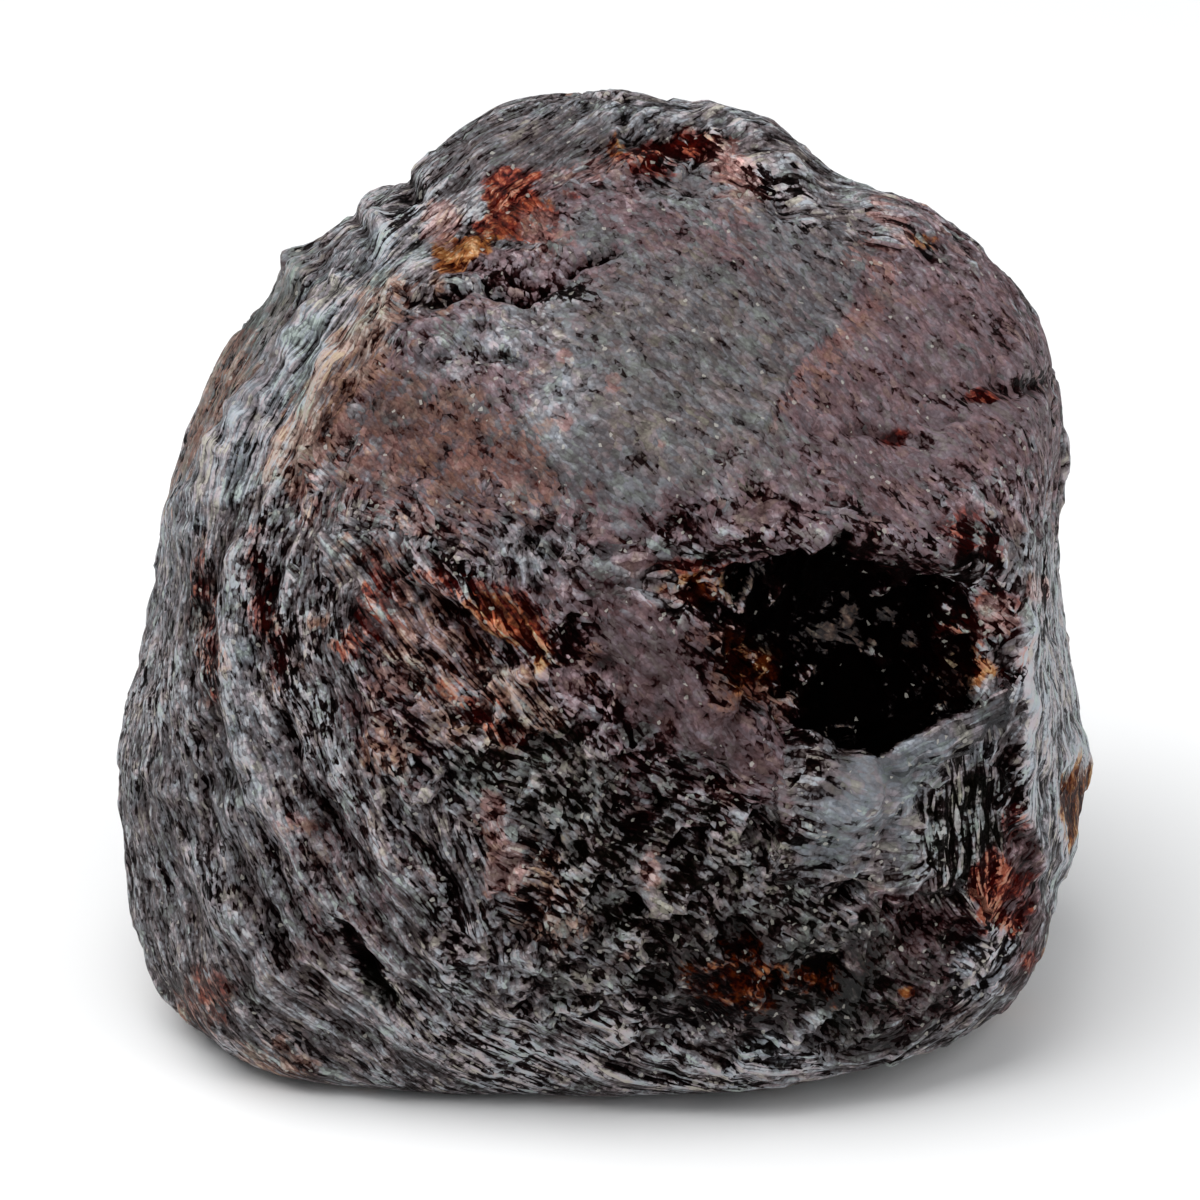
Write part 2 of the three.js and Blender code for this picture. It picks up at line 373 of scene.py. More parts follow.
@dataclass
class MineralMap:
    """Where each mineral shows on the front, as patches, and how the ground is worked there."""

    minerals: dict[Mineral, tuple[Patch, ...]] = field(default_factory=lambda: {
        Mineral.BLACK: (
            Patch(9.4, -1.0, 4.6, 2.6, -6, 1.0, 0.55), Patch(9.6, -4.0, 2.4, 2.3, 20),
            Patch(12.0, -3.8, 4.0, 2.2, 27, 1.0, 0.4, BAND_RIM[::-1]),
        ),
        Mineral.RED: (
            Patch(-3.7, 15.4, 2.0, 0.9, 25, 1.0, 0.7), Patch(-2.4, 14.6, 2.0, 0.9, 30, 0.6, 0.7),
            Patch(2.2, 17.8, 2.4, 0.8, 10, 0.7, 0.6), Patch(5.2, 16.9, 0.9, 1.3, 15, 0.8, 0.6),
            Patch(15.0, 8.0, 0.8, 0.35, 0, 0.8), Patch(11.5, 6.4, 0.5, 0.3, 0, 0.85, 0.6),
            Patch(15.5, -11.4, 1.1, 1.6, -6, 1.1, 0.6), Patch(16.2, -8.8, 0.5, 1.4, 0, 0.45),
            Patch(16.6, -14.0, 0.4, 0.5, 0, 0.9), Patch(14.4, -1.6, 2.0, 1.8, 0, 0.6, 0.6),
            Patch(-3.4, -0.6, 2.6, 1.1, -35, 0.55), Patch(-9.4, -0.6, 0.9, 2.2, -10, 0.5, 0.7),
            Patch(-8.2, -0.2, 0.7, 1.3, 0, 0.42, 0.7), Patch(-5.6, 0.6, 2.6, 0.7, -10, 0.45),
            Patch(-4.8, -4.2, 2.6, 0.6, -30, 0.5), Patch(-15.3, -1.4, 0.6, 3.6, 6, 0.45),
            Patch(-12.9, -0.6, 0.6, 3.2, 8, 0.4), Patch(4.0, 1.2, 2.4, 0.5, -6, 0.5),
            Patch(14.4, 2.4, 1.6, 1.2, -40, 0.4), Patch(-15.4, -15.6, 1.4, 1.6, 40, 0.35),
        ),
        Mineral.AMBER: (
            Patch(-5.1, 13.8, 1.6, 0.8, 15, 1.0, 0.7), Patch(-2.8, 15.0, 1.8, 0.8, 30, 0.5),
            Patch(0.6, 17.8, 0.4, 0.5, 0, 0.9), Patch(-4.4, 5.4, 1.6, 0.8, -15, 0.32),
            Patch(-3.4, -1.0, 2.4, 1.0, -35, 0.75), Patch(14.4, -2.6, 1.7, 0.9, 10, 0.9),
            Patch(6.0, -2.6, 1.6, 1.6, 0, 0.6), Patch(4.4, 0.5, 2.2, 0.7, 0, 0.5),
            Patch(5.6, -14.9, 2.8, 1.6, 0, 0.42, 0.8), Patch(11.9, -15.2, 0.35, 0.25, 0, 1.0, 0.1),
            Patch(12.6, 14.2, 1.0, 0.4, -35, 0.5), Patch(18.8, -8.4, 0.8, 2.0, 0, 2.4, 0.4),
        ),
        Mineral.PINK: (
            Patch(-6.2, 14.7, 0.9, 1.0, 0, 0.8), Patch(-2.0, 14.2, 1.2, 1.2, 20, 0.5),
            Patch(-0.6, 16.8, 1.6, 0.7, 20, 0.45), Patch(5.3, 16.6, 1.1, 1.7, 15, 1.0),
            Patch(11.4, 14.9, 1.4, 0.7, -30, 0.75), Patch(10.4, 13.6, 1.2, 0.8, 0, 0.4),
            Patch(-7.4, 3.0, 2.4, 0.9, -10, 0.5), Patch(-4.2, 5.2, 2.2, 1.0, -15, 0.5),
            Patch(-8.4, 5.4, 1.0, 1.4, 0, 0.45), Patch(-10.2, 5.4, 1.2, 3.2, -35, 0.4),
            Patch(-4.0, -9.8, 0.9, 2.1, 10, 1.0, 0.6), Patch(15.2, -0.9, 1.0, 0.9, 20, 0.85),
            Patch(17.0, 0.5, 0.6, 0.7, 0, 0.9), Patch(2.1, -10.6, 0.5, 0.8, 0, 0.6),
            Patch(3.2, 0.2, 1.1, 0.35, 0, 0.75), Patch(6.8, -3.6, 1.0, 0.6, 0, 0.5),
            Patch(9.8, -1.5, 1.0, 0.6, 0, 0.35), Patch(0.5, 8.5, 0.4, 0.5, 0, 0.8),
            Patch(-1.4, 9.6, 0.4, 0.4, 0, 0.7), Patch(-1.4, 6.9, 0.3, 0.4, 0, 0.6),
            Patch(2.4, 6.2, 0.3, 0.3, 0, 0.6), Patch(8.8, 9.8, 0.9, 4.0, -36, 0.5, 0.6, CROWN_STEP),
            Patch(-11.8, -9.0, 0.8, 0.9, 0, 0.35), Patch(1.0, -13.9, 0.3, 0.4, 0, 0.7),
            Patch(-8.2, -3.4, 0.9, 1.4, 0, 0.4),
        ),
        Mineral.PURPLE: (
            Patch(3.2, -3.4, 5.8, 2.2, -45, 0.95), Patch(-7.2, -2.6, 3.2, 4.6, -20, 0.8),
            Patch(12.4, 9.0, 8.4, 7.6, -30, 0.9, 0.35, CROWN_STEP), Patch(11.0, 4.6, 8.0, 2.0, -4, 0.7),
            Patch(-6.4, 8.6, 5.6, 3.4, 10, 0.65), Patch(-6.0, 5.4, 5.0, 3.0, -15, 0.8),
            Patch(3.4, 9.0, 6.0, 6.0, 20, 0.34), Patch(3.0, 14.4, 5.0, 1.6, -25, 0.55),
            Patch(-1.0, -7.0, 5.6, 3.6, -40, 0.5), Patch(-2.0, 15.6, 4.4, 1.6, 20, 0.6),
            Patch(-3.4, 13.1, 3.6, 1.0, -4, 0.9), Patch(0.0, 2.6, 5.0, 1.4, -5, 0.5),
            Patch(5.0, -7.6, 3.0, 2.4, 0, 0.55), Patch(2.0, -12.0, 7.0, 4.4, 0, 0.6, 0.6),
            Patch(-10.4, -11.0, 4.0, 4.0, 0, 0.3), Patch(13.4, -13.6, 4.6, 3.2, 15, 0.75),
            Patch(16.4, -11.0, 1.6, 2.2, 0, 1.0), Patch(-3.0, -3.0, 8.0, 5.0, -35, 0.75),
            Patch(8.0, 2.4, 8.0, 2.2, -4, 0.85), Patch(9.4, -1.4, 7.4, 5.0, -4, 0.7),
        ),
        Mineral.MICA: (
            Patch(10.4, -8.4, 2.9, 2.0, 40, 0.9), Patch(12.6, -6.0, 4.6, 1.5, 26, 0.9, 0.3, BAND_RIM),
            Patch(18.2, -5.6, 2.2, 8.6, 2, 1.0, 0.1, FLANK_EDGE[::-1]),
            # Both patches lie along the left flank's bright ridges: grey mica, whose pale blue-grey is
            # partly a painted sky reflection.
            Patch(-15.5, 5.0, 2.6, 7.4, -20, 0.55), Patch(-11.2, 9.4, 1.8, 9.0, -35, 0.85, 0.2),
            Patch(-4.4, 10.2, 3.4, 0.9, 20, 0.5), Patch(-1.2, 8.4, 1.5, 3.0, 0, 0.5),
            Patch(-5.2, -3.4, 3.4, 0.6, 30, 0.45), Patch(-13.8, -4.0, 1.0, 6.0, 8, 0.5),
            # The second patch, low on the front, is a painted highlight in grey mica's colour.
            Patch(-3.6, 1.6, 4.0, 1.4, 0, 0.4), Patch(7.0, -17.6, 2.2, 0.8, 20, 0.75),
            Patch(14.9, -14.2, 1.1, 2.2, -24, 1.2), Patch(2.6, 19.0, 6.0, 0.7, 0, 0.45),
            Patch(-15.0, -9.0, 3.0, 6.0, 20, 0.35),
        ),
        Mineral.GREEN: (
            Patch(3.6, 8.6, 5.0, 5.6, 20, 0.36), Patch(2.0, -12.0, 7.0, 5.0, 0, 0.55, 0.6),
            Patch(-8.6, -15.3, 1.0, 0.7, -40, 0.9), Patch(-3.0, -6.4, 4.6, 2.8, -30, 0.65),
            Patch(14.2, -9.4, 2.0, 2.8, 0, 0.6), Patch(-7.2, 13.5, 0.6, 0.8, 40, 0.7),
            Patch(-14.8, 9.6, 1.8, 7.0, -33, 0.9), Patch(18.2, 1.0, 0.6, 2.0, 0, 0.9),
            Patch(9.0, -14.6, 5.0, 2.6, 0, 0.5),
        ),
        Mineral.RUST: (
            Patch(-15.6, -15.6, 1.2, 1.6, 40, 0.6), Patch(-12.7, -18.0, 1.8, 0.9, -20, 0.5),
            Patch(-15.4, -1.0, 1.0, 3.6, 5, 0.4), Patch(18.8, -8.2, 0.8, 2.2, 0, 2.4, 0.2),
            Patch(-10.0, 8.4, 1.6, 5.6, -34, 0.75), Patch(-15.6, 7.0, 1.4, 5.0, -30, 0.6),
            Patch(-8.4, -5.8, 1.4, 1.6, 0, 0.5), Patch(-3.4, -4.3, 2.2, 0.8, -12, 0.6, 0.7),
            Patch(5.6, -2.6, 2.6, 2.0, -20, 0.6), Patch(-6.0, 4.0, 4.6, 1.2, -10, 0.3),
            Patch(-6.2, -1.8, 5.2, 3.4, -30, 0.5, 0.7), Patch(-6.0, 6.0, 5.0, 2.8, -15, 0.55),
            Patch(-2.0, -11.8, 1.6, 3.0, 10, 0.4),
        ),
    })
    darks: tuple[Patch, ...] = (
        Patch(-0.6, -6.0, 12.0, 8.4, -25, 0.07), Patch(9.2, -1.0, 7.8, 4.6, -4, 0.25, 0.8),
        Patch(10.0, -0.9, 5.2, 2.9, -4, 0.5, 0.9), Patch(9.6, -4.0, 2.6, 2.3, 20, 0.5, 0.5),
        Patch(11.8, -3.8, 4.2, 2.4, 27, 0.42, 0.3, BAND_RIM[::-1], 0.3),
        Patch(8.8, 1.9, 8.2, 1.2, -4, 0.11), Patch(5.0, 0.2, 4.2, 2.2, -8, 0.16),
        Patch(6.6, -2.8, 3.0, 3.4, -30, 0.2), Patch(2.4, -11.8, 7.8, 5.8, 0, 0.18),
        Patch(5.6, -15.0, 3.2, 1.8, 0, 0.34), Patch(-5.4, -2.4, 7.0, 4.0, -30, 0.15),
        Patch(0.0, -7.8, 6.2, 3.4, -40, 0.17), Patch(-15.3, -1.4, 0.7, 4.0, 6, 0.2),
        Patch(-12.7, -0.6, 0.7, 3.4, 8, 0.24), Patch(-11.0, -5.6, 1.0, 3.4, 22, 0.12),
        Patch(-9.2, -14.2, 2.6, 0.4, -52, 0.35), Patch(-6.0, -12.6, 1.0, 3.6, 12, 0.13),
        # The second patch paints a shadow: the thin dark line above the ridged crystals.
        Patch(-2.8, 12.3, 2.2, 0.5, -4, 0.36, 0.5), Patch(-3.8, 13.0, 2.2, 0.18, -3, 0.22, 0.25),
        Patch(-6.4, 11.8, 1.6, 0.22, 12, 0.22, 0.25), Patch(-5.4, 9.5, 1.2, 0.18, 8, 0.2, 0.25),
        Patch(-0.3, 13.2, 1.2, 0.26, 22, 0.42, 0.2), Patch(-3.2, 15.7, 1.3, 0.25, 24, 0.2, 0.6),
        Patch(-4.4, 15.0, 1.1, 0.2, 14, 0.2, 0.6), Patch(2.9, 17.7, 2.4, 0.9, 8, 0.32),
        Patch(6.6, 15.9, 1.8, 0.6, -50, 0.16), Patch(7.6, 14.6, 1.2, 0.3, 0, 0.14),
        Patch(16.2, 8.3, 1.9, 0.5, 14, 0.26), Patch(10.6, 6.3, 3.6, 0.4, -8, 0.15),
        Patch(13.6, 4.4, 2.6, 1.0, 0, 0.07), Patch(14.2, -9.4, 2.2, 3.4, 0, 0.2, 0.5),
        Patch(15.4, -7.6, 1.5, 3.0, -4, 0.2, 0.2, FLANK_EDGE), Patch(12.4, -13.8, 5.0, 3.2, 20, 0.16),
        Patch(14.8, 0.6, 1.8, 1.6, 0, 0.12), Patch(-0.8, -1.8, 1.2, 1.3, 0, 0.26),
        Patch(2.0, -17.4, 10.0, 1.6, 3, 0.08), Patch(-12.6, -10.0, 5.0, 7.0, 25, 0.03),
        Patch(-7.6, 15.0, 0.4, 2.2, -40, 0.2),
    )
    tones: tuple[Patch, ...] = (
        # How much lighter, or darker below 0, the ground is than the stone's middle grey.
        # The first patch is a painted highlight along the left flank's bright ridge.
        Patch(-11.2, 9.0, 1.5, 9.0, -35, 0.22, 0.2), Patch(-8.2, 10.6, 0.8, 5.0, -38, -0.10),
        Patch(-16.6, 2.0, 1.6, 8.0, -12, 0.03), Patch(-13.8, -4.0, 1.6, 6.0, 8, 0.05),
        Patch(-14.0, -11.0, 6.0, 7.0, 30, -0.08), Patch(-4.0, 10.4, 3.4, 1.4, 20, 0.05),
        Patch(-1.2, 8.4, 1.2, 3.0, 0, 0.04), Patch(-6.2, 6.4, 4.6, 2.6, -15, -0.16),
        Patch(6.0, 9.0, 11.0, 6.0, -15, -0.02), Patch(-14.2, 0.0, 2.4, 3.4, 0, -0.10),
        Patch(-15.4, -15.8, 1.8, 2.0, 30, -0.14), Patch(15.5, -11.4, 1.0, 1.6, -6, 0.3),
        Patch(16.8, -11.0, 1.1, 2.2, 0, -0.26), Patch(-15.3, -1.4, 0.6, 3.6, 6, -0.18),
        Patch(-12.9, -0.6, 0.6, 3.2, 8, -0.18), Patch(-5.5, -2.4, 7.0, 4.0, -35, -0.05),
        Patch(3.2, -3.6, 5.8, 2.2, -45, -0.16), Patch(1.6, -11.0, 9.0, 6.0, 0, -0.14),
        Patch(5.6, -15.0, 4.4, 2.6, 0, -0.44), Patch(9.9, -8.6, 2.8, 2.2, 40, 0.07),
        Patch(12.4, -5.6, 5.2, 0.8, 26, -0.05, 0.6, BAND_RIM, 0.3), Patch(-4.0, -9.8, 1.0, 2.2, 10, 0.08),
        Patch(14.2, -9.0, 2.2, 3.4, 0, 0.06, 0.2), Patch(15.4, -7.6, 1.5, 3.2, -4, -0.14, 0.2, FLANK_EDGE),
        # This patch makes the right flank's strip lighter: pale mica, and painted sheen where the side turns
        # away.
        Patch(18.4, -5.6, 2.4, 8.8, 2, 0.26, 0.1, FLANK_EDGE[::-1]),
        Patch(12.4, -14.0, 5.0, 3.2, 20, -0.39), Patch(0.0, -17.8, 9.0, 1.4, 3, 0.02),
        Patch(2.1, -10.6, 0.6, 0.9, 0, 0.3), Patch(2.6, 17.9, 3.0, 1.2, 8, -0.1),
        Patch(5.3, 16.7, 1.0, 1.6, 15, 0.14), Patch(14.9, -14.2, 1.0, 2.2, -24, 0.4),
        # The first patch lightens that painted highlight low on the front.
        Patch(7.0, -17.6, 2.2, 0.8, 20, 0.16), Patch(-2.0, 17.6, 5.0, 1.6, 15, -0.08),
        Patch(-3.4, 15.0, 2.2, 1.3, 30, -0.06), Patch(-9.0, -0.4, 1.6, 2.6, -15, -0.12),
        Patch(11.5, 6.4, 0.7, 0.45, 0, -0.14), Patch(15.2, 8.0, 1.2, 0.5, 0, -0.14),
        Patch(-3.4, -0.8, 2.4, 1.0, -35, -0.08), Patch(18.8, -8.2, 0.8, 2.2, 0, -0.8, 0.2),
        Patch(9.6, -1.2, 7.6, 5.2, -4, -0.08), Patch(15.4, -0.2, 1.3, 1.4, 20, 0.14),
        Patch(2.4, 0.2, 1.4, 0.5, 0, 0.14), Patch(-2.7, 8.6, 1.6, 2.6, 18, 0.06),
        Patch(9.0, 1.9, 7.0, 0.8, -4, -0.16),
    )
    lights: tuple[Patch, ...] = (
        Patch(3.3, -3.3, 5.4, 1.5, -45, 0.08), Patch(10.4, -8.2, 2.9, 1.7, 40, 0.17),
        Patch(12.6, -5.8, 4.6, 1.0, 26, 0.12, 0.6, BAND_RIM, 0.3),
        Patch(9.7, -1.4, 1.5, 0.9, 10, 0.56, 0.9), Patch(9.6, -5.4, 0.9, 1.1, 0, 0.36, 0.9),
        Patch(14.0, -2.6, 1.6, 1.4, 20, 0.2, 0.9),
        Patch(18.4, -5.6, 2.4, 8.8, 2, 0.02, 0.1, FLANK_EDGE[::-1]), Patch(-8.0, -0.6, 1.6, 2.0, -20, 0.06),
        Patch(2.1, -10.6, 0.7, 1.0, 0, 0.16), Patch(-3.9, -9.8, 0.8, 2.0, 10, 0.15),
        Patch(-0.6, -2.6, 1.6, 0.35, 28, 0.2), Patch(-14.0, -3.4, 0.6, 5.0, 8, 0.07),
        # These two patches keep black pits off the left flank's bright ridges, as part of their painted
        # highlight.
        Patch(-11.6, 9.0, 1.6, 9.0, -35, 0.07, 0.2), Patch(-15.0, 10.0, 2.6, 9.0, -35, 0.06, 0.2),
        Patch(15.4, 0.0, 1.3, 1.2, 20, 0.16),
    )
    contrasts: tuple[Patch, ...] = (
        # How much more, or less below 0, the fine relief is painted into the tone, as highlight on crests
        # and shade in pits.
        Patch(-14.4, 9.4, 2.2, 8.0, -33, -0.85), Patch(-17.0, 2.0, 1.2, 5.0, -12, -0.4),
        Patch(10.4, -8.3, 3.0, 2.2, 40, -0.7), Patch(12.6, -5.9, 4.6, 1.2, 26, -0.4, 0.3, BAND_RIM),
        Patch(12.6, 2.4, 4.2, 1.3, -4, -0.55), Patch(-3.0, 17.8, 4.0, 1.4, 12, -0.6),
        Patch(17.8, -5.6, 1.8, 8.6, 2, 0.8, 0.1, FLANK_EDGE[::-1]), Patch(0.0, -18.3, 9.0, 1.4, 3, 0.5),
        Patch(-2.4, 9.2, 1.6, 2.8, 18, 0.3), Patch(-4.6, 10.6, 3.4, 1.6, 15, 0.3),
        Patch(-3.4, 12.9, 3.6, 1.2, -4, 0.4), Patch(7.6, 2.2, 7.0, 1.2, -4, -0.3),
        Patch(-13.4, -10.4, 4.4, 6.4, 30, -0.35), Patch(-0.4, -7.6, 5.6, 3.0, -38, -0.25),
    )
    # The back carries looser patches: what shows there, the shift of its noise, and its largest share.
    behind: tuple[tuple[Enum, float, float], ...] = (
        (Mineral.PURPLE, 11.0, 0.7), (Mineral.MICA, 17.0, 0.8), (Mineral.RUST, 23.0, 0.6),
        (Mineral.AMBER, 29.0, 0.4), (Mineral.BLACK, 31.0, 0.5), (Ground.BROKEN, 37.0, 0.9),
        (Ground.SCUFF, 41.0, 0.9), (Mineral.PINK, 43.0, 0.4), (Mineral.GREEN, 47.0, 0.5),
    )
    grounds: dict[Ground, tuple[Patch, ...]] = field(default_factory=lambda: {
        Ground.SCUFF: (
            Patch(4.6, 10.4, 11.0, 6.6, -18, 1.0, 0.2), Patch(12.6, 8.4, 6.0, 6.0, -40, 1.0, 0.2),
            Patch(-5.0, 7.0, 6.0, 4.2, 0, 0.9, 0.2), Patch(1.0, 5.4, 5.0, 3.2, 0, 1.0, 0.2),
            Patch(3.4, -3.4, 5.4, 2.2, -45, 0.8),
        ),
        Ground.BROKEN: (
            Patch(2.2, -11.4, 9.6, 6.0, 0, 1.0), Patch(-1.0, -7.0, 6.6, 3.4, -38, 1.0),
            Patch(-4.2, -6.0, 5.4, 3.4, -35, 1.0), Patch(12.0, -13.8, 4.6, 2.8, 20, 1.0),
            Patch(6.0, -16.6, 7.0, 1.5, 8, 1.0), Patch(10.0, -8.4, 4.2, 3.4, 35, 1.0),
            Patch(5.6, -1.4, 3.0, 3.0, -20, 1.0), Patch(10.4, -2.0, 5.8, 4.4, -4, 1.0),
            Patch(8.6, 2.2, 7.4, 1.3, -4, 1.0), Patch(3.6, 17.2, 3.4, 1.4, -14, 1.0),
            Patch(14.6, -1.6, 1.8, 2.6, 0, 0.9), Patch(-4.0, 13.6, 4.0, 2.4, 20, 0.5),
            Patch(-5.6, 2.8, 5.4, 1.3, -8, 1.0), Patch(-5.0, 11.2, 3.4, 1.7, 8, 1.0),
            Patch(-9.4, 7.4, 1.0, 4.4, -34, 0.65), Patch(14.6, 7.4, 3.0, 1.2, 0, 0.7),
        ),
        Ground.RIBBED: (
            Patch(-6.2, -1.0, 6.2, 3.0, -28, 1.0), Patch(-5.2, -11.2, 1.2, 3.8, 23, 1.0, 0.25),
            Patch(13.6, -5.3, 3.4, 1.0, 27, 1.0), Patch(14.3, -9.2, 2.2, 3.8, 0, 1.0),
            Patch(-11.4, 9.0, 1.5, 9.0, -35, 1.0, 0.2),
            Patch(17.8, -6.2, 1.6, 9.4, 2, 1.0, 0.1, FLANK_EDGE[::-1]),
        ),
    })


@dataclass
class Skin:
    """The points of the stone's surface, in millimetres from its centre, and what is known of each.

    Facing tells how squarely a point faces the front, from -1 to 1. Seen is where it appears from the
    front, and bend how far that place is pushed aside, so that patches have uneven edges. Fore is 1 on
    the front and 0 behind.
    """

    view: Viewpoint
    points: np.ndarray
    facing: np.ndarray
    wander: float
    seen: np.ndarray = field(init=False)
    bend: np.ndarray = field(init=False)
    fore: np.ndarray = field(init=False)
    shares: dict[Enum, np.ndarray] = field(default_factory=dict)
    grains: dict[Ground, np.ndarray] = field(default_factory=dict)

    def __post_init__(self) -> None:
        """Works out where each point is seen, how far it is pushed aside and whether it is in front."""
        self.seen = self.view.seen(self.points)
        pushes = [cloudy(self.points, 2.6, 4, shift) for shift in (61.0, 67.0)]
        self.bend = self.wander * np.stack(pushes, axis=1)
        self.fore = smoothstep(-0.1, 0.15, self.facing)

    def patch_shares(self, patches: tuple[Patch, ...], rough: np.ndarray) -> list[np.ndarray]:
        """Gives the share of each patch at each point.

        Args:
            patches: The patches.
            rough: Noise that makes their edges ragged.

        Returns:
            One array of shares for each patch.
        """
        return [patch.share(self.seen, self.bend, rough) for patch in patches]

    def drawn(self, ground: Ground, length: float, width: float) -> np.ndarray:
        """Gives places whose noise runs in streaks along a ground's grain.

        Args:
            ground: The ground.
            length: How long a streak is.
            width: How wide a streak is.

        Returns:
            Places to read noise of size 1 at.
        """
        stretched = self.points / length
        stretched[:, 0] += self.grains[ground] / width
        return stretched


@dataclass(frozen=True)
class Heights:
    """How high each kind of relief stands, or how deep it lies, in millimetres."""

    lumps: float = 0.22
    strands: float = 0.34
    layers: float = 0.24
    plates: float = 0.14
    scuffs: float = 0.06
    pits: float = 0.10
    splinters: float = 0.5
    splinter_edges: float = 0.3
    crumbs: float = 0.16
    broken_below: float = 0.1
    ribs: float = 0.36
    rib_breaks: float = 0.2
    shells: float = 0.25
    hollow: float = 0.7


@dataclass(frozen=True)
class GrainMap:
    """Which way the grain of each ground runs, in degrees anticlockwise from the right, and its borders."""

    scuffs: float = -27.0
    splinters: float = -14.0
    ribs: float = -47.0
    band: float = 33.0
    upright: float = -84.0
    corner: float = -67.0
    # Where the grain changes, across or up on the front. The pale band's lower border slopes: it lies at
    # band_up where across is band_across, and goes up by band_rise for each millimetre to the right.
    band_left: float = 6.9
    band_foot: float = -11.4
    band_splinters_top: float = -5.0
    band_rise: float = 0.5
    band_across: float = 12.0
    band_up: float = -6.6
    corner_right: float = -2.9
    corner_top: float = -7.6
    ridge_right: float = -4.0
    ridge_foot: float = 2.6
    flank_right: float = -13.5
    strip_left: float = 15.9


